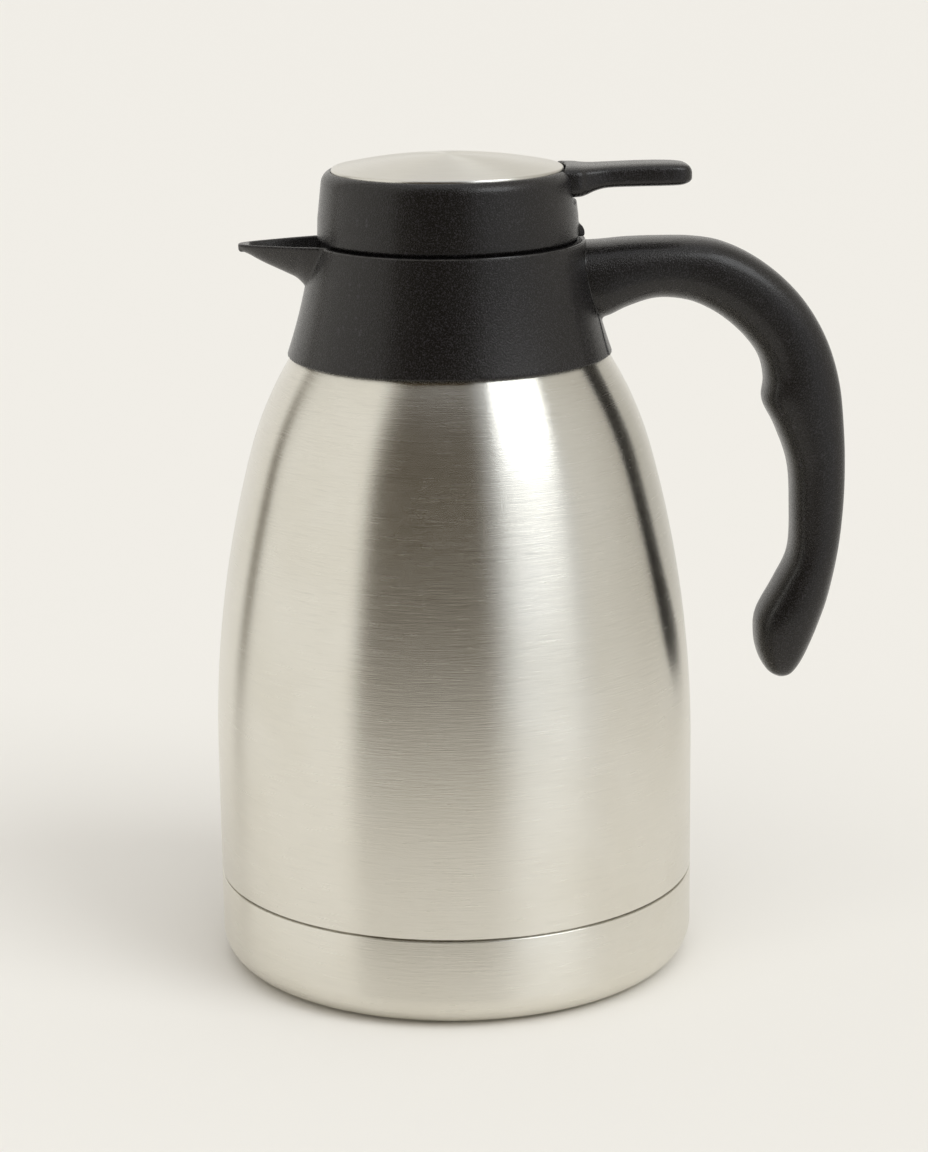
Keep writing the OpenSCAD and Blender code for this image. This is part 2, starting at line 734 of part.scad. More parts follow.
// Black handle: the swept grip, its seat and the tail that lies in the collar's wall
module handle() {
    color(black)
        difference() {
            union() {
                skin([for (s = smoothed(handle_stations, handle_steps)) handle_ring(s)]);
                intersection() {
                    tail_prism(0, collar_foot);
                    collar_form(0);
                }
            }
            collar_form(saddle_t);
            for (y = [-handle_screw_y, handle_screw_y])
                translate([handle_head_x, y, handle_screw_z])
                    rotate([0, 90, 0])
                        cylinder(r = handle_screw_r, h = handle_screw_l + 1);
        }
}

// Two screws from inside the collar into the handle
module handle_screws() {
    color(steel)
        for (y = [-handle_screw_y, handle_screw_y])
            translate([handle_head_x + handle_head_t, y, handle_screw_z])
                rotate([0, 90, 0])
                    pan_screw(handle_screw_r, handle_screw_l - handle_head_t, handle_screw_head_r, handle_head_t);
}

// Silicone ring in the plug's groove, which closes the steel mouth
module stopper_seal() {
    ring_fit = 0.15;
    color(silicone)
        translate([0, 0, seal_z + ring_fit])
            difference() {
                cylinder(r = mouth_r - seal_fit, h = seal_h - 2 * ring_fit);
                translate([0, 0, -cut])
                    cylinder(r = seal_groove_r + ring_fit, h = seal_h + 2 * cut);
            }
}

// Height of the middle of a lug: clear of the upper barrel's floor
lug_z = upper_z + lug_t / 2 + screw_lead * lug_span / 720 + 0.2;

// Plug: lower barrel in the mouth, upper barrel with lugs and pouring window, flange and stem guide
module stopper_plug() {
    window_half_a = 28;
    color(grey_plastic)
        difference() {
            union() {
                rotate_extrude()
                    polygon([
                        [chamber_r, barrel_z], [barrel_r, barrel_z],
                        [barrel_r, seal_z], [seal_groove_r, seal_z],
                        [seal_groove_r, seal_z + seal_h], [barrel_r, seal_z + seal_h],
                        [barrel_r, upper_z], [plug_upper_r, upper_z],
                        [plug_upper_r, flange_z], [flange_r, flange_z], [flange_r, flange_top],
                        [stem_r + stem_fit, flange_top], [stem_r + stem_fit, flange_z - guide_l],
                        [guide_r, flange_z - guide_l], [guide_r, flange_z],
                        [plug_upper_r - upper_wall, flange_z],
                        [plug_upper_r - upper_wall, upper_z + upper_floor_t],
                        [chamber_r, upper_z + upper_floor_t]
                    ]);
                for (i = [0:lugs - 1])
                    climbing_rib(plug_upper_r - 0.5, channel_r - 0.6, lug_z, i * 360 / lugs, lug_span);
            }
            // Window towards the spout
            translate([0, 0, upper_z + upper_floor_t])
                rotate([0, 0, 180 - window_half_a])
                    rotate_extrude(angle = 2 * window_half_a)
                        translate([chamber_r + 2, 0])
                            square([plug_upper_r, flange_z - upper_z - upper_floor_t - 0.3]);
            for (i = [0:2])
                rotate([0, 0, 60 + i * 120])
                    translate([cap_screw_ring, 0, flange_z - cut])
                        cylinder(r = cap_screw_r + 0.1, h = flange_t + 2 * cut, $fn = 32);
        }
}

// Seat that snaps into the bottom of the plug, with the hole that the valve closes
module valve_seat() {
    color(grey_plastic)
        rotate_extrude()
            polygon([
                [seat_hole_r, seat_z - seat_flange_t], [barrel_r, seat_z - seat_flange_t],
                [barrel_r, seat_z], [chamber_r, seat_z], [chamber_r, seat_top - 0.3],
                [seat_hole_r + 2, seat_top - 0.3], [seat_hole_r + 2, seat_top], [seat_hole_r, seat_top]
            ]);
}

// Three screws that hold the plug under the cap
module cap_screws() {
    color(steel)
        for (i = [0:2])
            rotate([0, 0, 60 + i * 120])
                translate([cap_screw_ring, 0, flange_z])
                    pan_screw(cap_screw_r, cap_screw_l, cap_head_r, cap_screw_depth);
}

// Black cap: side, rounded shoulder, seat of the disc, floor, screw bosses, lever notch and pin ears
module stopper_cap() {
    shoulder_x0 = cap_side_r - cap_shoulder_r;
    disc_hole_r = disc_r + disc_fit;
    shoulder_end = acos((disc_hole_r + 0.3 - shoulder_x0) / cap_shoulder_r);
    ledge_in = disc_r - 2.6;
    boss_top = cap_floor_top + cap_screw_l - 3;
    color(black)
        difference() {
            union() {
                difference() {
                    rotate_extrude()
                        polygon(concat(
                            [[cap_opening_r, flange_top], [flange_r - 0.2, flange_top]],
                            [[flange_r - 0.2, cap_z], [cap_r - 0.3, cap_z], [cap_r, cap_z + 0.4]],
                            [[cap_r - cap_draft * 0.15, cap_z + cap_h * 0.3]],
                            arc(shoulder_x0, cap_side_top, cap_shoulder_r, 0, shoulder_end, 8),
                            [[disc_hole_r, cap_side_top + cap_shoulder_r * sin(shoulder_end)]],
                            [[disc_hole_r, disc_seat], [ledge_in, disc_seat]],
                            [[ledge_in, disc_seat - 1.4], [cap_side_r - cap_wall - 0.4, disc_seat - 3]],
                            [[cap_r - cap_wall, cap_floor_top], [cap_opening_r, cap_floor_top]]
                        ));
                    // Notch for the lever
                    translate([pivot_x - 8, -notch_half_w, notch_z])
                        cube([20, 2 * notch_half_w, cap_h]);
                }
                for (i = [0:2])
                    rotate([0, 0, 60 + i * 120])
                        translate([cap_screw_ring, 0, cap_floor_top - 0.5])
                            cylinder(r = cap_screw_r + 1.9, h = boss_top - cap_floor_top + 0.5, $fn = 48);
                // Ears that hold the lever's pin
                for (side = [0, 1])
                    mirror([0, side, 0])
                        intersection() {
                            translate([pivot_x - 3, notch_half_w, cap_floor_top - 0.5])
                                cube([6, ear_t + 2, pivot_z + 3 - cap_floor_top]);
                            cylinder(r = cap_side_r - 0.8, h = disc_seat - 0.6);
                        }
                // Tab at the back
                translate([0, tab_half_w, 0])
                    rotate([90, 0, 0])
                        linear_extrude(height = 2 * tab_half_w)
                            polygon([
                                [cap_r - 1.6, cap_z], [cap_r + 1.3, cap_z], [cap_r + 1.3, cap_z + 1.5],
                                [cap_r + 0.7, cap_z + 2.9], [cap_r - 0.9, cap_z + 3.9], [cap_r - 1.6, cap_z + 3.9]
                            ]);
            }
            for (i = [0:2])
                rotate([0, 0, 60 + i * 120])
                    translate([cap_screw_ring, 0, flange_top - cut])
                        cylinder(r = cap_screw_r, h = cap_screw_l - flange_t + cut + 0.5, $fn = 32);
            translate([pivot_x, pin_half_l, pivot_z])
                rotate([90, 0, 0])
                    cylinder(r = pin_r, h = 2 * pin_half_l);
        }
}

// Domed steel disc with a rolled edge
module top_disc() {
    roll_x = disc_r - disc_roll_r;
    roll_z = disc_seat + disc_roll_r;
    base_z = roll_z + disc_roll_r - disc_t;
    dome_r = (roll_x * roll_x + disc_dome * disc_dome) / (2 * disc_dome);
    dome_a = asin(roll_x / dome_r);
    top_z = base_z + disc_dome - dome_r;
    color(steel) {
        rotate_extrude()
            polygon(concat(
                arc(0, top_z + disc_t, dome_r, 90, 90 - dome_a, 12),
                arc(0, top_z, dome_r, 90 - dome_a, 90, 12)
            ));
        rotate_extrude() translate([roll_x, roll_z]) circle(r = disc_roll_r, $fn = 24);
    }
}

// Pin that the lever rocks on, held in the cap's ears
module lever_pin() {
    color(steel)
        translate([pivot_x, pin_half_l, pivot_z])
            rotate([90, 0, 0])
                cylinder(r = pin_r, h = 2 * pin_half_l);
}

// Stations of the lever's outer part: part of its reach past the cap's side, fall below its back and thickness
// as parts of the rest's thickness, and half width
lever_stations = [
    [-0.166, -0.016, 1.410, lever_root_w],
    [-0.022, 0.000, 1.390, lever_root_w * 0.982],
    [0.038, 0.030, 1.306, lever_root_w * 0.875],
    [0.134, 0.048, 1.105, lever_half_w * 1.16],
    [0.255, 0.030, 1.010, lever_half_w * 1.067],
    [0.510, 0.000, 1.025, lever_half_w * 1.013],
    [0.732, 0.000, 1.025, lever_half_w * 0.987],
    [0.892, 0.040, 0.970, lever_half_w * 0.92],
    [0.965, 0.130, 0.790, lever_half_w * 0.747],
    [1.000, 0.340, 0.470, lever_half_w * 0.467]
];
lever_power = 0.5;
function lever_ring(s) =
    let (
        deep = s[2] * lever_t,
        mid = cap_top + lever_rise - s[1] * lever_t - deep / 2
    )
    [for (i = [0:ring_points - 1])
        let (a = -360 * i / ring_points)
        [cap_r + s[0] * lever_reach, s[3] * squared(cos(a), lever_power), mid + deep / 2 * squared(sin(a), lever_power)]];

// Thumb lever: outer rest, knuckle on the pin, arm under the disc and the fork that lifts the stem
module thumb_lever() {
    under_disc = disc_seat - 1;
    arm_z = pivot_z - 4;
    arm_t = 2.3;
    arm_root_w = lever_root_w - 2;
    fork_gap = stem_r + 0.9;
    tine_w = 2.6;
    fork_half_w = fork_gap + tine_w;
    fork_end = -stem_r - 2;
    slot_end = stem_r + 3;
    fork_neck = slot_end + 3;
    color(black)
        difference() {
            union() {
                difference() {
                    skin([for (s = smoothed(lever_stations, 2)) lever_ring(s)]);
                    translate([0, 0, under_disc])
                        cylinder(r = disc_r + 0.55, h = cap_h);
                }
                translate([pivot_x, lever_root_w, pivot_z])
                    rotate([90, 0, 0])
                        cylinder(r = knuckle_r, h = 2 * lever_root_w);
                // Arm that narrows to two tines
                translate([0, 0, arm_z])
                    linear_extrude(height = arm_t)
                        polygon([
                            [pivot_x, -arm_root_w], [pivot_x, arm_root_w],
                            [fork_neck, fork_half_w], [fork_end, fork_half_w],
                            [fork_end, fork_gap], [slot_end, fork_gap],
                            [slot_end, -fork_gap], [fork_end, -fork_gap],
                            [fork_end, -fork_half_w], [fork_neck, -fork_half_w]
                        ]);
                // Crests that bear on the stem's nut
                for (y = [-fork_half_w, fork_gap])
                    translate([0, y + tine_w, crest_z])
                        rotate([90, 0, 0])
                            cylinder(r = crest_r, h = tine_w, $fn = 32);
            }
            translate([pivot_x, lever_root_w + cut, pivot_z])
                rotate([90, 0, 0])
                    cylinder(r = pin_r + pin_fit, h = 2 * lever_root_w + 2 * cut);
        }
}

// Stem that the lever lifts
module valve_stem() {
    color(steel)
        translate([0, 0, stem_z])
            cylinder(r = stem_r, h = stem_top - stem_z);
}

// Round nut on top of the stem, over the fork
module stem_nut() {
    color(steel)
        translate([0, 0, nut_z])
            difference() {
                cylinder(r = nut_r, h = nut_t);
                translate([0, 0, -cut])
                    cylinder(r = stem_r, h = nut_t + 2 * cut);
            }
}

// Valve disc over the seat
module valve_poppet() {
    hub_r = spring_r - wire_r - 0.6;
    color(grey_plastic)
        translate([0, 0, poppet_z])
            difference() {
                union() {
                    cylinder(r = poppet_r, h = poppet_t);
                    cylinder(r = hub_r, h = poppet_t + 2);
                }
                translate([0, 0, -cut])
                    cylinder(r = stem_r, h = poppet_t + 3 + 2 * cut);
            }
}

// Silicone washer under the valve disc
module poppet_seal() {
    color(silicone)
        translate([0, 0, poppet_seal_z])
            difference() {
                cylinder(r = poppet_r, h = poppet_seal_t);
                translate([0, 0, -cut])
                    cylinder(r = stem_r, h = poppet_seal_t + 2 * cut);
            }
}

// Washer that holds the seal
module poppet_washer() {
    color(steel)
        translate([0, 0, poppet_seal_z - washer_t])
            difference() {
                cylinder(r = seat_hole_r - 2, h = washer_t);
                translate([0, 0, -cut])
                    cylinder(r = stem_r, h = washer_t + 2 * cut);
            }
}

// Six-sided nut at the foot of the stem
module poppet_nut() {
    color(steel)
        translate([0, 0, poppet_seal_z - washer_t - poppet_nut_t])
            difference() {
                cylinder(r = stem_r * 1.9, h = poppet_nut_t, $fn = 6);
                translate([0, 0, -cut])
                    cylinder(r = stem_r, h = poppet_nut_t + 2 * cut);
            }
}

// Coil spring from the valve disc up to the plug's top plate
spring_low = poppet_top + wire_r + 0.05;
spring_high = flange_z - wire_r - 0.05;
spring_pitch = (spring_high - spring_low) / spring_turns;
coil_rings = 8;
function spring_point(k) =
    [spring_r * cos(360 * k / coil_rings), spring_r * sin(360 * k / coil_rings),
        spring_low + spring_pitch * k / coil_rings];
spring_count = spring_turns * coil_rings;
spring_gap = min([for (k = [0:spring_count - coil_rings]) norm(spring_point(k + coil_rings) - spring_point(k))])
    - 2 * wire_r;
echo("Least gap between the spring's coils", spring_gap);

module valve_spring() {
    climb = atan(spring_pitch / (2 * PI * spring_r));
    color(steel)
        skin([for (k = [0:spring_count])
            let (
                a = 360 * k / coil_rings,
                p = spring_point(k),
                out = [cos(a), sin(a), 0],
                up = [sin(a) * sin(climb), -cos(a) * sin(climb), cos(climb)]
            )
            [for (j = [0:5]) p + wire_r * (cos(60 * j) * out + sin(60 * j) * up)]]);
}

outer_shell();
shell_shoulder();
liner_shoulder();
inner_liner();
liner_bottom();
outer_bottom();
evacuation_seal();
getter();
base_cup();
collar();
collar_gasket();
handle();
handle_screws();
stopper_seal();
stopper_cap();
stopper_plug();
valve_seat();
top_disc();
lever_pin();
cap_screws();
thumb_lever();
valve_stem();
stem_nut();
valve_poppet();
poppet_seal();
poppet_washer();
poppet_nut();
valve_spring();
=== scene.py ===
"""Vacuum carafe with a screw-in pouring stopper and a thumb lever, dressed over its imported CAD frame."""

from math import acos, asin, atan2, cos, pi, radians, sin, sqrt

import bmesh
import bpy
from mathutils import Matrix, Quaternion, Vector


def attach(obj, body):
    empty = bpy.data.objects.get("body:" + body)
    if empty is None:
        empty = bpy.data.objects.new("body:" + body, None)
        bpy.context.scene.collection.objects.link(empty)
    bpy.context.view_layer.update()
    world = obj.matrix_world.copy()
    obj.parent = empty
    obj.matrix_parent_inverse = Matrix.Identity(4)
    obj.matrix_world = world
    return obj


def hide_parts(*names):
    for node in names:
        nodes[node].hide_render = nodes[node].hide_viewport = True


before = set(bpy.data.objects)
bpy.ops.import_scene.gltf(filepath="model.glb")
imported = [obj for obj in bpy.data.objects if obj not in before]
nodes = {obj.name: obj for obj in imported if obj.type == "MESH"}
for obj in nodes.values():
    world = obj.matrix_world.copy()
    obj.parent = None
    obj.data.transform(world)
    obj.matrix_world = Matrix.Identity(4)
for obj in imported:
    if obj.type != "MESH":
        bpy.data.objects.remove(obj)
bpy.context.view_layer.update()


# Camera: a long lens in front of the carafe, a little to the spout's side and above the lid, turned by
# less than a degree. Its place was fitted to the photograph's outline, in millimetres from the base.
CAMERA_AT = (-70.7, -845.7, 328.9)
CAMERA_DOWN = radians(14.43)
CAMERA_AZIMUTH = radians(5.0)
CAMERA_ROLL = radians(-0.689)
LENS_MM = 96.1
SENSOR_MM = 36

camera = bpy.data.objects.new("camera", bpy.data.cameras.new("camera"))
camera.data.lens = LENS_MM
camera.data.sensor_width = SENSOR_MM
camera.data.clip_start = 0.05
camera.location = Vector(CAMERA_AT) / 1000
looking = Vector((
    sin(CAMERA_AZIMUTH) * cos(CAMERA_DOWN),
    cos(CAMERA_AZIMUTH) * cos(CAMERA_DOWN),
    -sin(CAMERA_DOWN),
))
camera.rotation_mode = "QUATERNION"
camera.rotation_quaternion = looking.to_track_quat("-Z", "Y") @ Quaternion((0, 0, 1), CAMERA_ROLL)
bpy.context.scene.collection.objects.link(camera)
bpy.context.scene.camera = camera
bpy.context.scene.view_settings.view_transform = "Standard"


# Studio: a warm white sheet of paper for a floor, an even sky and two wide soft boxes. Mirror-like rays see
# a room instead, in pale and dark bands, because the steel of the photograph shows such a room.
PAPER = (0.872, 0.845, 0.79)
PAPER_REACH = 0.40  # metres from the axis
PAPER_FADE = 0.12
SKY_LEVEL = 0.575
SKY_TINT = (1.0, 0.99, 0.975)
CEILING = (0.84, 0.86, 0.90)
FLOOR_HALF = 9
FLOOR_DROP = 0.0002  # so that the floor and the base never share a plane
# (place, colour) round the carafe: 0 is behind it, 0.25 at its left, 0.5 at the camera, 0.75 at its right
ROOM_BANDS = [
    (0.0, (0.84, 0.82, 0.78)), (0.10, (0.82, 0.80, 0.76)), (0.142, (0.82, 0.80, 0.75)),
    (0.166, (0.13, 0.11, 0.08)), (0.190, (0.88, 0.865, 0.82)), (0.24, (0.88, 0.865, 0.82)),
    (0.352, (0.89, 0.875, 0.83)), (0.386, (0.062, 0.046, 0.025)), (0.535, (0.062, 0.047, 0.027)),
    (0.60, (0.64, 0.66, 0.69)), (0.68, (0.68, 0.69, 0.70)), (0.71, (0.66, 0.65, 0.62)),
    (0.82, (0.56, 0.54, 0.50)), (0.86, (0.50, 0.485, 0.45)), (1.0, (0.84, 0.82, 0.78)),
]


def node(tree, kind, **settings):
    """A shader node with its properties, and with its unlinked inputs by name."""
    made = tree.nodes.new(kind)
    for name, value in settings.items():
        if hasattr(made, name) and name not in made.inputs:
            setattr(made, name, value)
        else:
            made.inputs[name].default_value = value
    return made


def maths(tree, operation, first, second=0.0, clamp=False):
    """A Math node on two sockets or numbers; returns its output."""
    made = tree.nodes.new("ShaderNodeMath")
    made.operation = operation
    made.use_clamp = clamp
    for slot, value in zip(made.inputs, (first, second)):
        if isinstance(value, (int, float)):
            slot.default_value = value
        else:
            tree.links.new(value, slot)
    return made.outputs[0]


def ramp(tree, factor, stops, smooth=True):
    """A Color Ramp over stops of (place, grey or colour); returns its colour."""
    made = tree.nodes.new("ShaderNodeValToRGB")
    made.color_ramp.interpolation = "EASE" if smooth else "LINEAR"
    while len(made.color_ramp.elements) < len(stops):
        made.color_ramp.elements.new(0.5)
    for element, (place, tone) in zip(made.color_ramp.elements, stops):
        element.position = place
        element.color = (tone, tone, tone, 1) if isinstance(tone, (int, float)) else (*tone, 1)
    tree.links.new(factor, made.inputs[0])
    return made.outputs[0]


def group(name, inputs, outputs):
    """An empty node group with those sockets; returns its tree, input node and output node."""
    tree = bpy.data.node_groups.new(name, "ShaderNodeTree")
    for title, kind, value in inputs:
        socket = tree.interface.new_socket(title, in_out="INPUT", socket_type=kind)
        if value is not None:
            socket.default_value = value
    for title, kind in outputs:
        tree.interface.new_socket(title, in_out="OUTPUT", socket_type=kind)
    return tree, tree.nodes.new("NodeGroupInput"), tree.nodes.new("NodeGroupOutput")


def mixed(tree, factor, first, second, blend="MIX"):
    """A Mix node between two colours or sockets; returns its colour."""
    made = node(tree, "ShaderNodeMix", data_type="RGBA", blend_type=blend)
    slots = (made.inputs["Factor"], made.inputs[6], made.inputs[7])
    for slot, value in zip(slots, (factor, first, second)):
        if isinstance(value, (int, float)):
            slot.default_value = value
        elif isinstance(value, tuple):
            slot.default_value = (*value, 1)
        else:
            tree.links.new(value, slot)
    return made.outputs[2]


# The room's tone by direction, turned with the camera
room, room_in, room_out = group(
    "room_tones", [("Direction", "NodeSocketVector", None)], [("Tone", "NodeSocketColor")])
turn = node(room, "ShaderNodeVectorRotate", rotation_type="Z_AXIS", Angle=CAMERA_AZIMUTH)
room.links.new(room_in.outputs["Direction"], turn.inputs["Vector"])
parts = room.nodes.new("ShaderNodeSeparateXYZ")
room.links.new(turn.outputs[0], parts.inputs[0])
backwards = maths(room, "MULTIPLY", parts.outputs["Y"], -1)
heading = maths(room, "ARCTAN2", parts.outputs["X"], backwards)
around = maths(room, "ADD", maths(room, "DIVIDE", heading, 2 * pi), 0.5)
room.links.new(ramp(room, around, ROOM_BANDS), room_out.inputs["Tone"])

world = bpy.data.worlds.new("studio")
bpy.context.scene.world = world
world.use_nodes = True
sky = world.node_tree
sky.nodes.clear()
direction = sky.nodes.new("ShaderNodeTexCoord").outputs["Generated"]
walls = node(sky, "ShaderNodeGroup", node_tree=room)
sky.links.new(direction, walls.inputs["Direction"])
# The room's walls end towards the top: straight up the ceiling is pale
rise = sky.nodes.new("ShaderNodeSeparateXYZ")
sky.links.new(direction, rise.inputs[0])
wall_share = ramp(sky, rise.outputs["Z"], [(0.0, 1.0), (0.86, 1.0), (0.97, 0.0)])
walled = mixed(sky, wall_share, CEILING, walls.outputs["Tone"])
ray = sky.nodes.new("ShaderNodeLightPath")
lit = mixed(sky, ray.outputs["Is Glossy Ray"], tuple(SKY_LEVEL * c for c in SKY_TINT), walled)
glow = sky.nodes.new("ShaderNodeBackground")
sky.links.new(mixed(sky, ray.outputs["Is Camera Ray"], lit, PAPER), glow.inputs["Color"])
sky.links.new(glow.outputs[0], sky.nodes.new("ShaderNodeOutputWorld").inputs["Surface"])


def far_box(name, azimuth, elevation, spread, strength, tint=(1, 1, 1), mirrored=True):
    """A wide soft box far off, which lights the whole floor alike; azimuth is to the camera's right."""
    lamp = bpy.data.objects.new(name, bpy.data.lights.new(name, "SUN"))
    lamp.data.angle = radians(spread)
    lamp.data.energy = strength
    lamp.data.color = tint
    side_turn, up = radians(azimuth) - CAMERA_AZIMUTH, radians(elevation)
    aim = Vector((sin(side_turn) * cos(up), -cos(side_turn) * cos(up), sin(up)))
    lamp.rotation_mode = "QUATERNION"
    lamp.rotation_quaternion = (-aim).to_track_quat("-Z", "Y")
    lamp.visible_glossy = mirrored
    bpy.context.scene.collection.objects.link(lamp)


far_box("key_box", 55, 44, 32, 0.88, tint=(0.92, 0.96, 1.0))
far_box("front_box", 8, 66, 60, 0.90, mirrored=False)

floor_mesh = bpy.data.meshes.new("floor")
corners = ((-1, -1), (1, -1), (1, 1), (-1, 1))
floor_mesh.from_pydata([(x * FLOOR_HALF, y * FLOOR_HALF, 0) for x, y in corners], [], [(0, 1, 2, 3)])
floor = bpy.data.objects.new("floor", floor_mesh)
floor.location = (0, 0, -FLOOR_DROP)
bpy.context.scene.collection.objects.link(floor)
paper = bpy.data.materials.new("paper_sweep")
paper.use_nodes = True
sheet = paper.node_tree
sheet_look = sheet.nodes["Principled BSDF"]
sheet_look.inputs["Roughness"].default_value = 0.9
sheet_look.inputs["Specular IOR Level"].default_value = 0.2
# The sheet of paper ends past what the camera sees: the metal shows the room from there on
spot = sheet.nodes.new("ShaderNodeTexCoord").outputs["Object"]
length = node(sheet, "ShaderNodeVectorMath", operation="LENGTH")
sheet.links.new(spot, length.inputs[0])
beyond = ramp(sheet, length.outputs["Value"], [(PAPER_REACH, 0.0), (PAPER_REACH + PAPER_FADE, 1.0)])
around_it = node(sheet, "ShaderNodeGroup", node_tree=room)
sheet.links.new(spot, around_it.inputs["Direction"])
seen_by = sheet.nodes.new("ShaderNodeLightPath")
mirror_only = maths(sheet, "MULTIPLY", beyond, seen_by.outputs["Is Glossy Ray"])
sheet.links.new(
    mixed(sheet, mirror_only, PAPER, around_it.outputs["Tone"]), sheet_look.inputs["Base Color"])
floor_mesh.materials.append(paper)


# Outer shell: deep-drawn stainless sheet, straight below and drawn in to the neck by two tangent arcs,
# with a stepped skirt that the base cup slides over. It is brushed round and round on a lathe.
BODY_R = 68.0
STRAIGHT_TOP = 62.0
SHOULDER_START = 148.0
SIDE_ARC_R = 322.0
SHOULDER_ARC_R = 100.0
NECK_R = 34.5
NECK_H = 6.7
SHELL_WALL = 0.6
CUP_H = 25.7
CUP_WALL = 0.9
SEAM_GAP = 0.6
SKIRT_R = BODY_R - CUP_WALL - 0.2
SKIRT_FOOT = 12.0
BEAD_R = 0.9
BEAD_UP = 3.75
BEAD_HALF_H = 0.75
EDGE_EASE = 0.3

side_angle = asin((SHOULDER_START - STRAIGHT_TOP) / SIDE_ARC_R)
shoulder_x = BODY_R - SIDE_ARC_R * (1 - cos(side_angle)) - SHOULDER_ARC_R * cos(side_angle)
shoulder_z = SHOULDER_START - SHOULDER_ARC_R * sin(side_angle)
neck_z = shoulder_z + SHOULDER_ARC_R * sin(acos((NECK_R - shoulder_x) / SHOULDER_ARC_R))
bead_z = neck_z + BEAD_UP
lip_z = neck_z + NECK_H


def arc(x, z, r, start, end, steps):
    """Points of an arc round (x, z), from one angle to the other, in radians."""
    return [
        (x + r * cos(start + (end - start) * i / steps), z + r * sin(start + (end - start) * i / steps))
        for i in range(steps + 1)
    ]


def flask_side(inwards, end_r, steps=40):
    """The flask's side moved in by a wall, from the straight side up to radius end_r."""
    end = acos((end_r - shoulder_x) / (SHOULDER_ARC_R - inwards))
    lower = arc(BODY_R - SIDE_ARC_R, STRAIGHT_TOP, SIDE_ARC_R - inwards, 0, side_angle, steps)
    upper = arc(shoulder_x, shoulder_z, SHOULDER_ARC_R - inwards, side_angle, end, steps)
    return lower + upper[1:]


def eased(profile, radius, steps=3):
    """A closed profile with each corner of over 25 degrees rounded to about that radius."""
    made = []
    for i, corner in enumerate(profile):
        here = Vector(corner)
        back, on = Vector(profile[i - 1]) - here, Vector(profile[(i + 1) % len(profile)]) - here
        on_axis = here.x < 1e-6 or min(back.length, on.length) < 1e-6
        if on_axis or pi - back.angle(on) < radians(25):
            made.append(tuple(here))
            continue
        reach = min(radius, back.length * 0.45, on.length * 0.45)
        start, end = here + back.normalized() * reach, here + on.normalized() * reach
        for k in range(steps + 1):
            t = k / steps
            made.append(tuple(start * (1 - t) ** 2 + here * 2 * t * (1 - t) + end * t * t))
    return made


def finished(name, points, faces, sharp=38):
    """An object made from points in millimetres, smooth but for edges sharper than that angle."""
    mesh = bpy.data.meshes.new(name)
    mesh.from_pydata([(x / 1000, y / 1000, z / 1000) for x, y, z in points], [], faces)
    mesh.validate()
    mesh.shade_smooth()
    mesh.set_sharp_from_angle(angle=radians(sharp))
    made = bpy.data.objects.new(name, mesh)
    bpy.context.scene.collection.objects.link(made)
    return made


def turned(name, profile, segments=256):
    """A closed profile of (radius, height) turned round the carafe's axis."""
    turns = [2 * pi * j / segments for j in range(segments)]
    points, rings = [], []
    for r, z in profile:
        if r < 1e-6:
            rings.append([len(points)] * segments)
            points.append((0, 0, z))
        else:
            rings.append(list(range(len(points), len(points) + segments)))
            points += [(r * cos(a), r * sin(a), z) for a in turns]
    faces = []
    for i, low in enumerate(rings):
        high = rings[(i + 1) % len(rings)]
        if low[0] == low[1] and high[0] == high[1]:
            continue
        for j in range(segments):
            k = (j + 1) % segments
            corners = []
            for corner in (low[j], low[k], high[k], high[j]):
                if corner not in corners:
                    corners.append(corner)
            faces.append(corners)
    return finished(name, points, faces)


# Brush lines of a lathe: noise that changes fast across the brushing and slowly along it
lines, lines_in, lines_out = group(
    "brush_lines",
    [("Across", "NodeSocketFloat", 0.0), ("Place", "NodeSocketVector", None)],
    [(title, "NodeSocketFloat") for title in ("Hairline", "Streak", "Cloud", "Nick")],
)


def stretched(tree, along, across_scale, along_scale, across):
    """Coordinates that run slowly along the brushing and fast across it."""
    slow = node(tree, "ShaderNodeVectorMath", operation="SCALE", Scale=along_scale)
    tree.links.new(along, slow.inputs[0])
    fast = node(tree, "ShaderNodeCombineXYZ")
    tree.links.new(maths(tree, "MULTIPLY", across, across_scale), fast.inputs["Z"])
    both = node(tree, "ShaderNodeVectorMath", operation="ADD")
    tree.links.new(slow.outputs[0], both.inputs[0])
    tree.links.new(fast.outputs[0], both.inputs[1])
    return both.outputs[0]


def noise(tree, vector, scale=1.0, detail=2.0, roughness=0.5):
    """A Noise texture's value over those coordinates."""
    made = node(tree, "ShaderNodeTexNoise", Scale=scale, Detail=detail, Roughness=roughness)
    tree.links.new(vector, made.inputs["Vector"])
    return made.outputs["Fac"]


across = lines_in.outputs["Across"]
place = lines_in.outputs["Place"]
hairline = noise(lines, stretched(lines, place, 3200, 110, across), detail=2, roughness=0.6)
streak = noise(lines, stretched(lines, place, 1100, 60, across), detail=3, roughness=0.6)
cloud = noise(lines, place, scale=34, detail=3, roughness=0.55)
nick = noise(lines, stretched(lines, place, 2200, 150, across), detail=1)
lines.links.new(hairline, lines_out.inputs["Hairline"])
lines.links.new(streak, lines_out.inputs["Streak"])
lines.links.new(cloud, lines_out.inputs["Cloud"])
lines.links.new(ramp(lines, nick, [(0.72, 0.0), (0.78, 1.0)]), lines_out.inputs["Nick"])


def shaded(name):
    """A new material; returns it, its node tree, its Principled shader and the object's coordinates."""
    made = bpy.data.materials.new(name)
    made.use_nodes = True
    tree = made.node_tree
    return made, tree, tree.nodes["Principled BSDF"], node(tree, "ShaderNodeTexCoord").outputs["Object"]


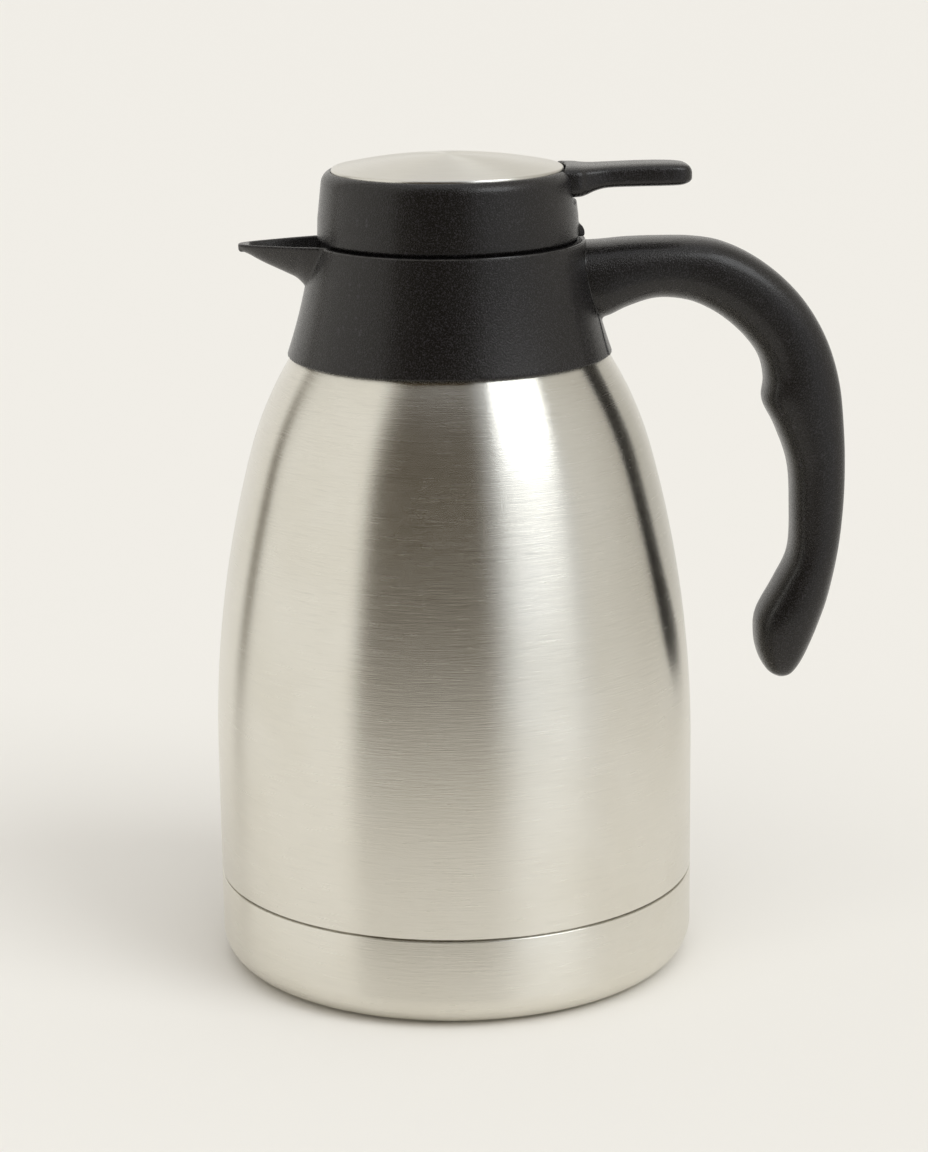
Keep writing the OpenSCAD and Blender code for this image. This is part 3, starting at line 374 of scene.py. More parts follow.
def textured(tree, look, value, rough, spread, strength, depth):
    """Lets a value raise the surface and vary its roughness from rough by spread."""
    uneven = maths(tree, "ADD", rough, maths(tree, "MULTIPLY", value, spread))
    tree.links.new(uneven, look.inputs["Roughness"])
    relief = node(tree, "ShaderNodeBump", Strength=strength, Distance=depth)
    tree.links.new(value, relief.inputs["Height"])
    tree.links.new(relief.outputs[0], look.inputs["Normal"])


def dimmed(tint, share):
    """A colour times a share, up to white."""
    return tuple(min(1, share * c) for c in tint)


def brushed_steel(name, tint, rough, anisotropy, relief_share, around_disc=False):
    """Stainless steel with hairlines round the axis, on a wall or on a flat disc."""
    made, tree, steel, spot = shaded(name)
    steel.inputs["Metallic"].default_value = 1.0
    steel.inputs["Anisotropic"].default_value = anisotropy
    steel.inputs["Anisotropic Rotation"].default_value = 0.25
    split = node(tree, "ShaderNodeSeparateXYZ")
    tree.links.new(spot, split.inputs[0])
    crosswise = split.outputs["Z"]
    if around_disc:
        squares = [maths(tree, "MULTIPLY", split.outputs[way], split.outputs[way]) for way in "XY"]
        crosswise = maths(tree, "SQRT", maths(tree, "ADD", *squares))
    brushed = node(tree, "ShaderNodeGroup", node_tree=lines)
    tree.links.new(crosswise, brushed.inputs["Across"])
    tree.links.new(spot, brushed.inputs["Place"])
    fine = maths(tree, "ADD", maths(tree, "MULTIPLY", brushed.outputs["Hairline"], 0.65),
                 maths(tree, "MULTIPLY", brushed.outputs["Streak"], 0.35))
    tone = ramp(tree, fine, [(0.32, dimmed(tint, 0.95)), (0.50, tint), (0.70, dimmed(tint, 1.03))])
    haze = ramp(tree, brushed.outputs["Cloud"], [(0.3, (0.96, 0.955, 0.94)), (0.7, 1.0)])
    clouded = mixed(tree, 1.0, tone, haze, "MULTIPLY")
    nick_share = maths(tree, "MULTIPLY", brushed.outputs["Nick"], 0.16)
    tree.links.new(mixed(tree, nick_share, clouded, dimmed(tint, 0.55)), steel.inputs["Base Color"])
    textured(tree, steel, fine, rough - 0.05, 0.10, relief_share, 0.0001)
    lay = node(tree, "ShaderNodeTangent", direction_type="RADIAL", axis="Z")
    tree.links.new(lay.outputs[0], steel.inputs["Tangent"])
    return made


def dressed(piece, material, body, slot, *replaced):
    """Gives a piece its material and body and hides the CAD nodes that it stands for; slot is not used."""
    piece.data.materials.clear()
    piece.data.materials.append(material)
    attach(piece, body)
    if replaced:
        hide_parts(*replaced)
    return piece


body_steel = brushed_steel("brushed_body_steel", (0.81, 0.785, 0.715), 0.26, 1.0, 0.6)
shell = turned("flask_shell", eased(
    [(SKIRT_R, SKIRT_FOOT), (SKIRT_R, CUP_H + SEAM_GAP), (BODY_R, CUP_H + SEAM_GAP)]
    + flask_side(0, NECK_R)
    + [(NECK_R, bead_z - BEAD_HALF_H), (NECK_R + BEAD_R, bead_z), (NECK_R, bead_z + BEAD_HALF_H)]
    + [(NECK_R, lip_z), (NECK_R - SHELL_WALL, lip_z)]
    + flask_side(SHELL_WALL, NECK_R - SHELL_WALL)[::-1]
    + [(BODY_R - SHELL_WALL, CUP_H + SEAM_GAP + SHELL_WALL)]
    + [(SKIRT_R - SHELL_WALL, CUP_H + SEAM_GAP + SHELL_WALL), (SKIRT_R - SHELL_WALL, SKIRT_FOOT)],
    EDGE_EASE,
))
dressed(shell, body_steel, "carafe", "brushed_body", "outer_shell", "shell_shoulder")


# Base cup: pressed from the same sheet, slid over the skirt with a thin dark joint above it. Its bottom
# corner is round, and a rolled groove stiffens the flat that it stands on.
CUP_CORNER_R = 9.0
GROOVE_R = 46.0
GROOVE_DEPTH = 0.45

corner_x = BODY_R - CUP_CORNER_R
groove = arc(GROOVE_R, 0, GROOVE_DEPTH, pi, 0, 8)
cup = turned("base_cup_steel", eased(
    [(0, 0)] + groove
    + arc(corner_x, CUP_CORNER_R, CUP_CORNER_R, -pi / 2, 0, 24)
    + [(BODY_R, CUP_H), (BODY_R - CUP_WALL, CUP_H)]
    + arc(corner_x, CUP_CORNER_R, CUP_CORNER_R - CUP_WALL, 0, -pi / 2, 24)
    + [(0, CUP_WALL)],
    EDGE_EASE,
))
dressed(cup, body_steel, "carafe", "brushed_body", "base_cup")


# Inside of the flask: electropolished liner, the plate and button that close the vacuum, and the getter.
# Their solids come from the CAD as they are; only the mouth of the liner shows, when the stopper is out.
def plain_metal(name, tint, rough, grain):
    """Steel that is polished, turned or sintered: a mottled tone, uneven gloss and a light grain."""
    made, tree, metal, spot = shaded(name)
    metal.inputs["Metallic"].default_value = 1.0
    mottle = noise(tree, spot, scale=60, detail=3)
    grit = noise(tree, spot, scale=grain, detail=2)
    tree.links.new(
        ramp(tree, mottle, [(0.3, dimmed(tint, 0.86)), (0.7, tint)]), metal.inputs["Base Color"])
    textured(tree, metal, grit, rough - 0.05, 0.14, 0.15, 0.00003)
    return made


def repaint(material, *names):
    """Puts a material on CAD nodes that stay as they are."""
    for name in names:
        nodes[name].data.materials.clear()
        nodes[name].data.materials.append(material)


repaint(plain_metal("polished_liner_steel", (0.74, 0.74, 0.73), 0.22, 900),
        "liner_shoulder", "inner_liner", "liner_bottom", "outer_bottom")
fastener_steel = plain_metal("fastener_steel", (0.66, 0.66, 0.65), 0.30, 1500)
repaint(fastener_steel, "evacuation_seal", "handle_screws", "cap_screws", "lever_pin", "valve_stem",
        "stem_nut", "poppet_washer", "poppet_nut", "valve_spring")
repaint(plain_metal("sintered_getter", (0.45, 0.45, 0.47), 0.55, 2500), "getter")


# Collar: black polypropylene with a spark-eroded skin, moulded in one with the spout. It snaps over the bead
# on the steel neck. Screws through its inner block pull the handle's root into the seat in its wall.
COLLAR_TOP_R = 37.9
COLLAR_FOOT_R = 45.4
COLLAR_H = 31.5
COLLAR_FLARE_R = 150.0
COLLAR_WALL = 2.2
CHANNEL_R = 35.6
MOUTH_R = 27.0
SPOUT_REACH = 20.2
SPOUT_HALF_W = 13.2
SPOUT_WALL = 1.6
DRIP_R = 0.9
HANDLE_ROOT_W = 12.8
ROOT_SQUARENESS = 0.8
ROOT_DRAWN = (COLLAR_TOP_R - 12, 24)
TAIL_HALF_W = 13.8
TAIL_TOP_W = HANDLE_ROOT_W * 0.72
TAIL_LAP = 6
BOSS_HALF_W = HANDLE_ROOT_W * 0.85
SADDLE_T = 1.2
SADDLE_GAP = 0.3
NECK_FIT = 0.3
SNAP_RIB_H = 0.8
LUG_T = 1.5
LUG_SPAN = radians(26)
LUG_INNER_R = MOUTH_R + 6.0
SCREW_LEAD = 30.0
THIRD_TURN = 2 * pi / 3
LINE_INSET = 0.16
JOINT_MARGIN = 0.5

web_z = lip_z + 0.5 + 1.2
channel_z = web_z + 1.8
collar_top = channel_z + 8.8
collar_foot = collar_top - COLLAR_H
neck_skirt_r = NECK_R + BEAD_R + NECK_FIT
neck_skirt_z = neck_z + 1.8
root_top = collar_top - 1.2
root_foot = collar_top - 22.6
root_middle, root_half = (root_top + root_foot) / 2, (root_top - root_foot) / 2
chord = Vector((COLLAR_TOP_R - COLLAR_FOOT_R, COLLAR_H))
outwards = Vector((chord.y, -chord.x)).normalized()
flare_centre = (
    Vector(((COLLAR_TOP_R + COLLAR_FOOT_R) / 2, collar_foot + COLLAR_H / 2))
    + outwards * sqrt(COLLAR_FLARE_R ** 2 - (chord.length / 2) ** 2)
)
flare_tilt = atan2(outwards.y, outwards.x) + pi
flare_spread = asin(chord.length / 2 / COLLAR_FLARE_R)


def collar_side(inwards, steps=30):
    """The collar's outside moved in by a wall: a hollow arc from the lower edge to the top edge."""
    return arc(flare_centre.x, flare_centre.y, COLLAR_FLARE_R + inwards,
               flare_tilt + flare_spread, flare_tilt - flare_spread, steps)


def smoothed(stations, steps):
    """Stations with more between them, on a Catmull-Rom curve through them all."""
    made = []
    last = len(stations) - 1
    for i in range(last):
        four = (stations[max(i - 1, 0)], stations[i], stations[i + 1], stations[min(i + 2, last)])
        for k in range(steps):
            t = k / steps
            made.append([
                0.5 * (2 * q + (r - p) * t
                       + (2 * p - 5 * q + 4 * r - s) * t * t
                       + (3 * q - p - 3 * r + s) * t ** 3)
                for p, q, r, s in zip(*four)
            ])
    return made + [list(stations[last])]


def skinned(name, rings):
    """A closed skin over rings of points that run the same way round."""
    count = len(rings[0])
    faces = []
    for i in range(len(rings) - 1):
        for j in range(count):
            k = (j + 1) % count
            faces.append((i * count + j, i * count + k, (i + 1) * count + k, (i + 1) * count + j))
    faces.append(tuple(reversed(range(count))))
    faces.append(tuple(range((len(rings) - 1) * count, len(rings) * count)))
    made = finished(name, [point for ring in rings for point in ring], faces)
    outward(made)
    return made


def outward(piece):
    """Turns a closed piece's faces outward."""
    work = bmesh.new()
    work.from_mesh(piece.data)
    bmesh.ops.recalc_face_normals(work, faces=work.faces)
    work.to_mesh(piece.data)
    work.free()


def carved(piece, *steps):
    """Adds and cuts other solids in turn, which are then gone."""
    for way, other in steps:
        change = piece.modifiers.new(way, "BOOLEAN")
        change.operation = way
        change.solver = "EXACT"
        change.object = other
        baked(piece)
        bpy.data.objects.remove(other)
    return piece


def baked(piece):
    """Applies a piece's modifiers to its mesh."""
    bpy.context.view_layer.update()
    depsgraph = bpy.context.evaluated_depsgraph_get()
    mesh = bpy.data.meshes.new_from_object(piece.evaluated_get(depsgraph))
    piece.modifiers.clear()
    piece.data = mesh


def moulded(piece, grain, passes):
    """Softens a carved solid's edges as a moulding's are: voxels of grain millimetres, then smoothed."""
    skin = piece.modifiers.new("skin", "REMESH")
    skin.mode = "VOXEL"
    skin.voxel_size = grain / 1000
    skin.use_smooth_shade = True
    fair = piece.modifiers.new("fair", "SMOOTH")
    fair.factor = 0.5
    fair.iterations = passes
    baked(piece)
    piece.data.shade_smooth()
    return piece


def prism(name, outline, start, length, axis="X"):
    """An outline of points in the plane across an axis, drawn out along that axis."""
    count = len(outline)
    points = []
    for along in (start, start + length):
        for corner in outline:
            point = list(corner)
            point.insert("XYZ".index(axis), along)
            points.append(point)
    faces = [(j, (j + 1) % count, count + (j + 1) % count, count + j) for j in range(count)]
    faces += [tuple(reversed(range(count))), tuple(range(count, 2 * count))]
    made = finished(name, points, faces)
    outward(made)
    return made


def squared(value, power):
    """One coordinate of a round-edged outline: a power below 1 squares the ellipse."""
    return (1 if value >= 0 else -1) * abs(value) ** power


def circle(count, offset=0.0):
    """Angles once round, evenly, from an offset in steps."""
    return [2 * pi * (i + offset) / count for i in range(count)]


def collar_form(inwards):
    """The collar's outer form as a solid, moved in by a wall."""
    line = collar_side(inwards)
    return turned("collar_form", [(0, collar_foot - 1), (line[0][0], collar_foot - 1)] + line
                  + [(line[-1][0], collar_top + 1), (0, collar_top + 1)])


def drum(name, r, low, high):
    """A round block on the carafe's axis, to cut with."""
    return turned(name, [(0, low), (r, low), (r, high), (0, high)])


def root_point(a, grown):
    """The (y, z) of the root's outline at an angle, grown by a margin."""
    return ((HANDLE_ROOT_W + grown) * squared(cos(a), ROOT_SQUARENESS),
            root_middle + (root_half + grown) * squared(sin(a), ROOT_SQUARENESS))


def root_prism(grown):
    """The handle's root, drawn along X through the collar's wall."""
    return prism("root", [root_point(a, grown) for a in circle(72)], *ROOT_DRAWN)


def tail_prism(grown, foot):
    """The tail under the root, down to the collar's lower edge."""
    top, wide = TAIL_TOP_W + grown, TAIL_HALF_W + grown
    lap = root_foot + TAIL_LAP
    return prism("tail", [(-wide, foot), (wide, foot), (top, lap), (-top, lap)], *ROOT_DRAWN)


# (share of the spout's reach, share of its half width, depth under its top)
SPOUT_STATIONS = [
    (-0.30, 1.08, 20), (-0.10, 1.00, 16.8), (0.10, 0.89, 12.2), (0.21, 0.83, 9.9), (0.32, 0.76, 8.7),
    (0.50, 0.63, 6.9), (0.68, 0.50, 5.1), (0.84, 0.37, 3.2), (0.95, 0.25, 2.1), (1.00, 0.14, 1.6)
]
spout_top = collar_top + 0.3


def spout_ring(station, wall, lift):
    """A V-shaped section of the spout: its keel, its two flanks and its flat top."""
    reach, width, depth = station
    x = -COLLAR_TOP_R - SPOUT_REACH * reach
    half = SPOUT_HALF_W * width - wall
    keel = spout_top - depth + wall
    steps = [2 * i / 32 - 1 for i in range(33)]
    flank = [(x, half * u, keel + (spout_top - keel) * abs(u) ** 1.7) for u in steps]
    return flank + [(x, half, spout_top + lift), (x, -half, spout_top + lift)]


side = collar_side(0)
under_web = [p for p in collar_side(COLLAR_WALL) if collar_foot + 3 < p[1] < web_z - 1]
collar = turned("collar_moulding", eased(
    [(side[0][0] - 1.2, collar_foot), (side[0][0], collar_foot)] + side[1:-1]
    + [(COLLAR_TOP_R, collar_top), (CHANNEL_R, collar_top), (CHANNEL_R, channel_z)]
    + [(MOUTH_R + 0.5, channel_z), (MOUTH_R + 0.5, web_z)]
    + [(neck_skirt_r, web_z), (neck_skirt_r, neck_skirt_z)]
    + [(neck_skirt_r + 1.8, neck_skirt_z), (neck_skirt_r + 1.8, web_z)] + under_web[::-1],
    EDGE_EASE,
))
spout = skinned("spout", [spout_ring(s, 0, 0.001) for s in smoothed(SPOUT_STATIONS, 6)])
carved(spout, ("DIFFERENCE", drum("bore", CHANNEL_R + 0.5, collar_foot - 1, collar_top + 2)))
trough_stations = [(-0.55, 1.1, 20)] + [s for s in SPOUT_STATIONS if s[0] < 0.9]
trough_depth = spout_top - channel_z + SPOUT_WALL
trough = skinned("trough", [
    spout_ring((reach, width, min(depth, trough_depth)), SPOUT_WALL, 1)
    for reach, width, depth in smoothed(trough_stations, 6)
])
drip_x = -COLLAR_TOP_R - SPOUT_REACH + DRIP_R
drip = skinned("drip", [
    [(drip_x + DRIP_R * sin(b) * cos(a), DRIP_R * sin(b) * sin(a), spout_top - 1.6 - DRIP_R * cos(b))
     for a in circle(24)]
    for b in [pi * (0.06 + 0.88 * k / 12) for k in range(13)]
])
seat = root_prism(SADDLE_GAP)
carved(seat, ("UNION", tail_prism(SADDLE_GAP, collar_foot - 1)),
       ("DIFFERENCE", collar_form(SADDLE_T + SADDLE_GAP)))
# Inside: the block that the handle's screws pull against, the rib that snaps under the neck's bead, and the
# three ribs that climb as the stopper's screw does
boss_top = web_z + 0.9
boss = prism("boss", [(-BOSS_HALF_W, neck_skirt_z), (BOSS_HALF_W, neck_skirt_z),
                      (BOSS_HALF_W, boss_top), (-BOSS_HALF_W, boss_top)], 0, COLLAR_FOOT_R)
carved(boss, ("INTERSECT", collar_form(0.3)),
       ("DIFFERENCE", drum("core", neck_skirt_r, neck_skirt_z - 1, web_z + 2)))
snap_z = bead_z - BEAD_R - NECK_FIT
snap_low = snap_z - SNAP_RIB_H
snap_rib = turned("snap_rib", [(NECK_R + NECK_FIT, snap_low), (neck_skirt_r + 0.4, snap_low),
                               (neck_skirt_r + 0.4, snap_z), (NECK_R + NECK_FIT, snap_z)])


def climbing_rib(middle):
    """One of the collar's ribs, which the stopper's lugs slide under."""
    rise = channel_z + 0.7 + LUG_T * 1.5 + SCREW_LEAD * LUG_SPAN / (4 * pi) + 0.3
    outer_r, half = CHANNEL_R + 0.5, LUG_T / 2
    section = ((LUG_INNER_R, -half), (outer_r, -half), (outer_r, half), (LUG_INNER_R, half))
    rings = []
    for i in range(17):
        a = LUG_SPAN * (i / 16 - 0.5)
        z = rise + SCREW_LEAD * a / (2 * pi)
        rings.append([(r * cos(middle + a), r * sin(middle + a), z + up) for r, up in section])
    return skinned("climbing_rib", rings)


carved(collar, ("UNION", spout), ("UNION", drip), ("UNION", boss), ("UNION", snap_rib),
       ("UNION", climbing_rib(0)), ("UNION", climbing_rib(THIRD_TURN)),
       ("UNION", climbing_rib(2 * THIRD_TURN)), ("DIFFERENCE", trough), ("DIFFERENCE", seat))
moulded(collar, 0.43, 2)


def edge_line(name, path, r=0.22):
    """A fine round line along a path: a glossy strip laid on an edge, which carries a highlight line."""
    rings = []
    for i, here in enumerate(path):
        here = Vector(here)
        way = Vector(path[min(i + 1, len(path) - 1)]) - Vector(path[max(i - 1, 0)])
        turn_to = way.to_track_quat("Z", "Y")
        rings.append([tuple(here + turn_to @ Vector((r * cos(a), r * sin(a), 0))) for a in circle(8)])
    return skinned(name, rings)


def on_collar(y, z, inset=0.02):
    """The point of the collar's outside at that y and height, on the handle's side."""
    for (r, low), (r_next, high) in zip(side, side[1:]):
        if low <= z <= high:
            r += (r_next - r) * (z - low) / (high - low)
            break
    return (sqrt(max((r - inset) ** 2 - y * y, 0)), y, z)


# Glossy strips on the edges, whose paler mottled tone is a painted highlight line: the rim but for the
# spout's mouth, and both sides of the handle's seat
rim_r = COLLAR_TOP_R - LINE_INSET
rim_line = edge_line("rim_line", [
    (x, y, collar_top - LINE_INSET) for x, y in arc(0, 0, rim_r, radians(-150), radians(150), 180)
])
round_part = [root_point(radians(84 - 3 * i), JOINT_MARGIN) for i in range(44)]
round_part = [(y, z) for y, z in round_part if z > root_foot + 3.2]
tail_drop = collar_foot + 0.6 - root_foot - TAIL_LAP
straight_part = [
    (TAIL_TOP_W + JOINT_MARGIN + (TAIL_HALF_W - TAIL_TOP_W) * t, root_foot + TAIL_LAP + tail_drop * t)
    for t in [0.25 + 0.75 * i / 16 for i in range(17)]
]
joint_lines = [
    edge_line("joint_line", [on_collar(hand * y, z) for y, z in round_part + straight_part], 0.2)
    for hand in (-1, 1)
]

# Spark-eroded skin of the mould: fine pits, a faint flow mottle and paler edges, which are a painted
# highlight
spark, spark_in, spark_out = group(
    "spark_texture",
    [("Place", "NodeSocketVector", None), ("Grain", "NodeSocketFloat", 2400.0)],
    [("Pits", "NodeSocketFloat"), ("Fleck", "NodeSocketFloat"), ("Flow", "NodeSocketFloat")],
)
pits = node(spark, "ShaderNodeTexNoise", Detail=2.0, Roughness=0.55)
spark.links.new(spark_in.outputs["Place"], pits.inputs["Vector"])
spark.links.new(spark_in.outputs["Grain"], pits.inputs["Scale"])
spark.links.new(pits.outputs["Fac"], spark_out.inputs["Pits"])
spark.links.new(ramp(spark, pits.outputs["Fac"], [(0.50, 0.0), (0.64, 1.0)]), spark_out.inputs["Fleck"])
spark.links.new(noise(spark, spark_in.outputs["Place"], scale=45, detail=3), spark_out.inputs["Flow"])


def black_plastic(name, dark, pale, rough):
    """Matt black polypropylene: pits that scatter the light, paler flecks, a slight mottle and paler convex
    edges as a painted highlight.
    """
    made, tree, plastic, spot = shaded(name)
    plastic.inputs["Specular IOR Level"].default_value = 0.29
    plastic.inputs["Coat Weight"].default_value = 0.3
    plastic.inputs["Coat Roughness"].default_value = 0.2
    plastic.inputs["Specular Tint"].default_value = (1.0, 0.96, 0.91, 1)
    skin = node(tree, "ShaderNodeGroup", node_tree=spark)
    tree.links.new(spot, skin.inputs["Place"])
    # Paler convex edges, found by pointiness: a painted highlight
    corners = node(tree, "ShaderNodeNewGeometry").outputs["Pointiness"]
    edge_highlight = ramp(tree, corners, [(0.53, 0.0), (0.62, 1.0)])
    flow = ramp(tree, skin.outputs["Flow"], [(0.35, dimmed(dark, 0.85)), (0.65, dark)])
    share = maths(tree, "ADD", maths(tree, "MULTIPLY", skin.outputs["Fleck"], 0.42),
                  maths(tree, "MULTIPLY", edge_highlight, 0.4), clamp=True)
    tree.links.new(mixed(tree, share, flow, pale), plastic.inputs["Base Color"])
    textured(tree, plastic, skin.outputs["Pits"], rough - 0.06, 0.12, 0.8, 0.0002)
    return made


# The edge strips' paler mottled tone is a painted highlight line; their gloss comes from a lower roughness
edge_sheen_black, edge_sheen_tree, edge_sheen_look, edge_sheen_spot = shaded("black_edge_painted_sheen")
edge_sheen_mottle = noise(edge_sheen_tree, edge_sheen_spot, scale=300, detail=2)
painted_edge_sheen = ramp(edge_sheen_tree, edge_sheen_mottle, [(0.35, (0.012, 0.011, 0.010)), (0.65, (0.030, 0.028, 0.027))])
edge_sheen_tree.links.new(painted_edge_sheen, edge_sheen_look.inputs["Base Color"])
edge_sheen_look.inputs["Roughness"].default_value = 0.2
matt_black = black_plastic("matt_black_plastic", (0.0070, 0.0063, 0.0057), (0.040, 0.036, 0.042), 0.27)
edge_lines = [rim_line] + joint_lines
for line in edge_lines:
    line.data.materials.clear()
    line.data.materials.append(edge_sheen_black)
collar.data.materials.clear()
collar.data.materials.append(matt_black)
with bpy.context.temp_override(active_object=collar, selected_editable_objects=[collar] + edge_lines):
    bpy.ops.object.join()
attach(collar, "carafe")
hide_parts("collar")


# Handle: one black moulding, from a round root in the collar's wall over the bend to a thumb-shaped end,
# with a nub for the fingers inside. Its tail lies flush in the wall, and two screws pull it in.
# (outer x, outer z, inner x, inner z, half width), from the collar's top edge
HANDLE_STATIONS = [
    (-8, -1.2, -8, -22.6, 12.8), (3, -1.2, 4, -22.6, 12.8), (12, -0.6, 11.6, -19.6, 12.2),
    (21, -0.5, 19.6, -17.4, 11.5), (30.6, -0.8, 28, -18.1, 11), (39, -2.4, 34.6, -20.7, 11),
    (48, -6.7, 40.6, -24.7, 11), (56.6, -13.3, 46.1, -30, 11), (63.6, -21.4, 49.9, -35.7, 11),
    (69.1, -31.5, 51.3, -42, 11), (72.6, -43.3, 50.9, -48.1, 11), (74.1, -57, 54.6, -55.7, 10.6),
    (74.5, -68, 58.4, -66.5, 10.2), (74.2, -79, 59.3, -79, 10), (72.9, -91.5, 58.9, -92, 10),
    (70.4, -104, 54.9, -100.7, 10.2), (67.9, -112, 49.9, -110, 10.4), (65.1, -119, 49.3, -117, 10),
    (62.7, -124, 50.5, -122.7, 8.8), (60.3, -127.5, 52.9, -127, 6.4), (58.1, -129, 55.8, -128.9, 2.8)
]


def handle_ring(station):
    """A round-edged section of the handle between its outer and inner points."""
    outer, inner, half_w = Vector(station[0:2]), Vector(station[2:4]), station[4]
    middle, half = (outer + inner) / 2, (outer - inner) / 2
    ring = []
    for a in circle(64):
        p = middle + half * squared(sin(a), ROOT_SQUARENESS)
        ring.append(
            (COLLAR_TOP_R + p.x, half_w * squared(cos(a), ROOT_SQUARENESS), collar_top + p.y))
    return ring


handle = skinned("handle_moulding", [handle_ring(s) for s in smoothed(HANDLE_STATIONS, 6)])
tail = tail_prism(0, collar_foot)
carved(tail, ("INTERSECT", collar_form(0)))
carved(handle, ("UNION", tail), ("DIFFERENCE", collar_form(SADDLE_T)))
moulded(handle, 0.45, 3)
dressed(handle, matt_black, "carafe", "black_plastic", "handle")


# Stopper: a grey plug with lugs, pouring window and valve seat, a silicone ring round it, and a black cap
# over it. The cap has a notch with two ears for the lever's pin, and a small tab at its back.
CAP_R = 36.3
CAP_DRAFT = 1.3
CAP_WALL = 2.2
CAP_H = 19.3
CAP_SHOULDER_R = 4.0
DISC_R = 32.15
PIVOT_X = 29.5
LEVER_ROOT_W = 11.2
LEVER_FIT = 0.4
TAB_HALF_W = 5.0
LIP_H = 2.2
LIP_FIT = 0.18
EAR_T = 2.9

cap_z = collar_top + 0.6
cap_top = cap_z + CAP_H
flange_top = cap_z - 0.2
flange_r = CHANNEL_R - 0.6
lip_r = CHANNEL_R - LIP_FIT
floor_top = flange_top + 2.0
disc_seat = cap_top - 1.2
pivot_z = cap_top - 6.3
notch_z = cap_top - 9.4
notch_half_w = LEVER_ROOT_W + LEVER_FIT
shoulder_start_x = CAP_R - CAP_DRAFT - CAP_SHOULDER_R
shoulder_end = acos((DISC_R + 0.5 - shoulder_start_x) / CAP_SHOULDER_R)
cap_side_top = cap_top - CAP_SHOULDER_R
disc_hole_r = DISC_R + 0.2
inner_top_r = CAP_R - CAP_DRAFT - CAP_WALL - 0.4


def block(name, low, high):
    """A box between two corners."""
    (x, y, z), (far_x, far_y, far_z) = low, high
    return prism(name, [(y, z), (far_y, z), (far_y, far_z), (y, far_z)], x, far_x - x)


cap = turned("cap_moulding", eased(
    [(20, flange_top), (flange_r - 1, flange_top), (flange_r - 1, flange_top - LIP_H)]
    + [(lip_r, flange_top - LIP_H), (lip_r, cap_z), (CAP_R, cap_z)]
    + [(CAP_R - CAP_DRAFT * 0.15, cap_z + CAP_H * 0.3)]
    + arc(shoulder_start_x, cap_side_top, CAP_SHOULDER_R, 0, shoulder_end, 12)
    + [(disc_hole_r, cap_side_top + CAP_SHOULDER_R * sin(shoulder_end)), (disc_hole_r, disc_seat)]
    + [(DISC_R - 2.6, disc_seat), (DISC_R - 2.6, disc_seat - 1.4), (inner_top_r, disc_seat - 3)]
    + [(CAP_R - CAP_WALL, floor_top), (20, floor_top)],
    0.4,
))
ears = [
    block("ear", (PIVOT_X - 3, y, floor_top - 0.5), (PIVOT_X + 3, y + EAR_T, pivot_z + 2.5))
    for y in (notch_half_w, -notch_half_w - EAR_T)
]
tab = prism("tab", [
    (CAP_R - 1.6, cap_z), (CAP_R + 1.3, cap_z), (CAP_R + 1.3, cap_z + 1.5), (CAP_R + 0.7, cap_z + 2.9),
    (CAP_R - 0.9, cap_z + 3.9), (CAP_R - 1.6, cap_z + 3.9)
], -TAB_HALF_W, 2 * TAB_HALF_W, axis="Y")
for ear in ears:
    # No corner of an ear may come through the cap's shoulder
    carved(ear, ("INTERSECT", drum("ear_limit", CAP_R - CAP_DRAFT - 0.8, cap_z - 3, disc_seat - 0.6)))
notch = block("notch", (PIVOT_X - 8, -notch_half_w, notch_z), (PIVOT_X + 12, notch_half_w, cap_top + 9))
carved(cap, ("DIFFERENCE", notch), ("UNION", ears[0]), ("UNION", ears[1]), ("UNION", tab))
moulded(cap, 0.45, 3)
dressed(cap, matt_black, "stopper", "black_plastic", "stopper_cap")


# Top disc: thin stainless sheet, spun into a low dome with a rolled bright edge, brushed on a lathe and
# stuck on the cap's seat.
DISC_T = 0.6
DISC_DOME = 3.35
ROLL_R = 0.75

roll_x, roll_z = DISC_R - ROLL_R, disc_seat + ROLL_R
dome_r = (roll_x ** 2 + DISC_DOME ** 2) / (2 * DISC_DOME)
dome_z = roll_z + ROLL_R - DISC_T + DISC_DOME - dome_r
dome_end = pi / 2 - asin(roll_x / dome_r)
disc_steel = brushed_steel("spun_disc_steel", (0.81, 0.792, 0.735), 0.34, 0.8, 0.1, around_disc=True)
disc = turned(
    "disc_steel",
    [(0, dome_z + dome_r)]
    + arc(0, dome_z, dome_r, pi / 2, dome_end, 40)[1:-1]
    + arc(roll_x, roll_z, ROLL_R, radians(-120), radians(95), 12)
    + arc(0, dome_z + DISC_T, dome_r, dome_end, pi / 2, 40)[1:-1]
    + [(0, dome_z + dome_r + DISC_T)],
)
dressed(disc, disc_steel, "stopper", "spun_disc", "top_disc")


# Thumb lever: black moulding that rocks on a steel pin in the cap. Outside it is a long rest for the thumb,
# inside an arm with a fork that lifts the valve's stem.
# (reach past the cap, top over the cap's top, depth, half width)
LEVER_STATIONS = [
    (-5.2, 0.55, 8.88, 11.2), (-0.7, 0.45, 8.76, 11.0), (1.2, 0.26, 8.23, 9.8), (4.2, 0.15, 6.96, 8.7),
    (8, 0.26, 6.36, 8.0), (16, 0.45, 6.46, 7.6), (23, 0.45, 6.46, 7.4), (28, 0.20, 6.11, 6.9),
    (30.3, -0.37, 4.98, 5.6), (31.4, -1.69, 2.96, 3.5)
]
LEVER_SQUARENESS = 0.5
KNUCKLE_R = 2.6
PIN_BORE_R = 1.55
CREST_R = 1.5
FORK_OUT = 5.5
FORK_IN = 2.9


def lever_ring(station):
    """A square-shouldered section of the lever."""
    reach, above, deep, half_w = station
    return [
        (CAP_R + reach, half_w * squared(cos(a), LEVER_SQUARENESS),
         cap_top + above - deep / 2 + deep / 2 * squared(sin(a), LEVER_SQUARENESS))
        for a in circle(64, 0.5)
    ]


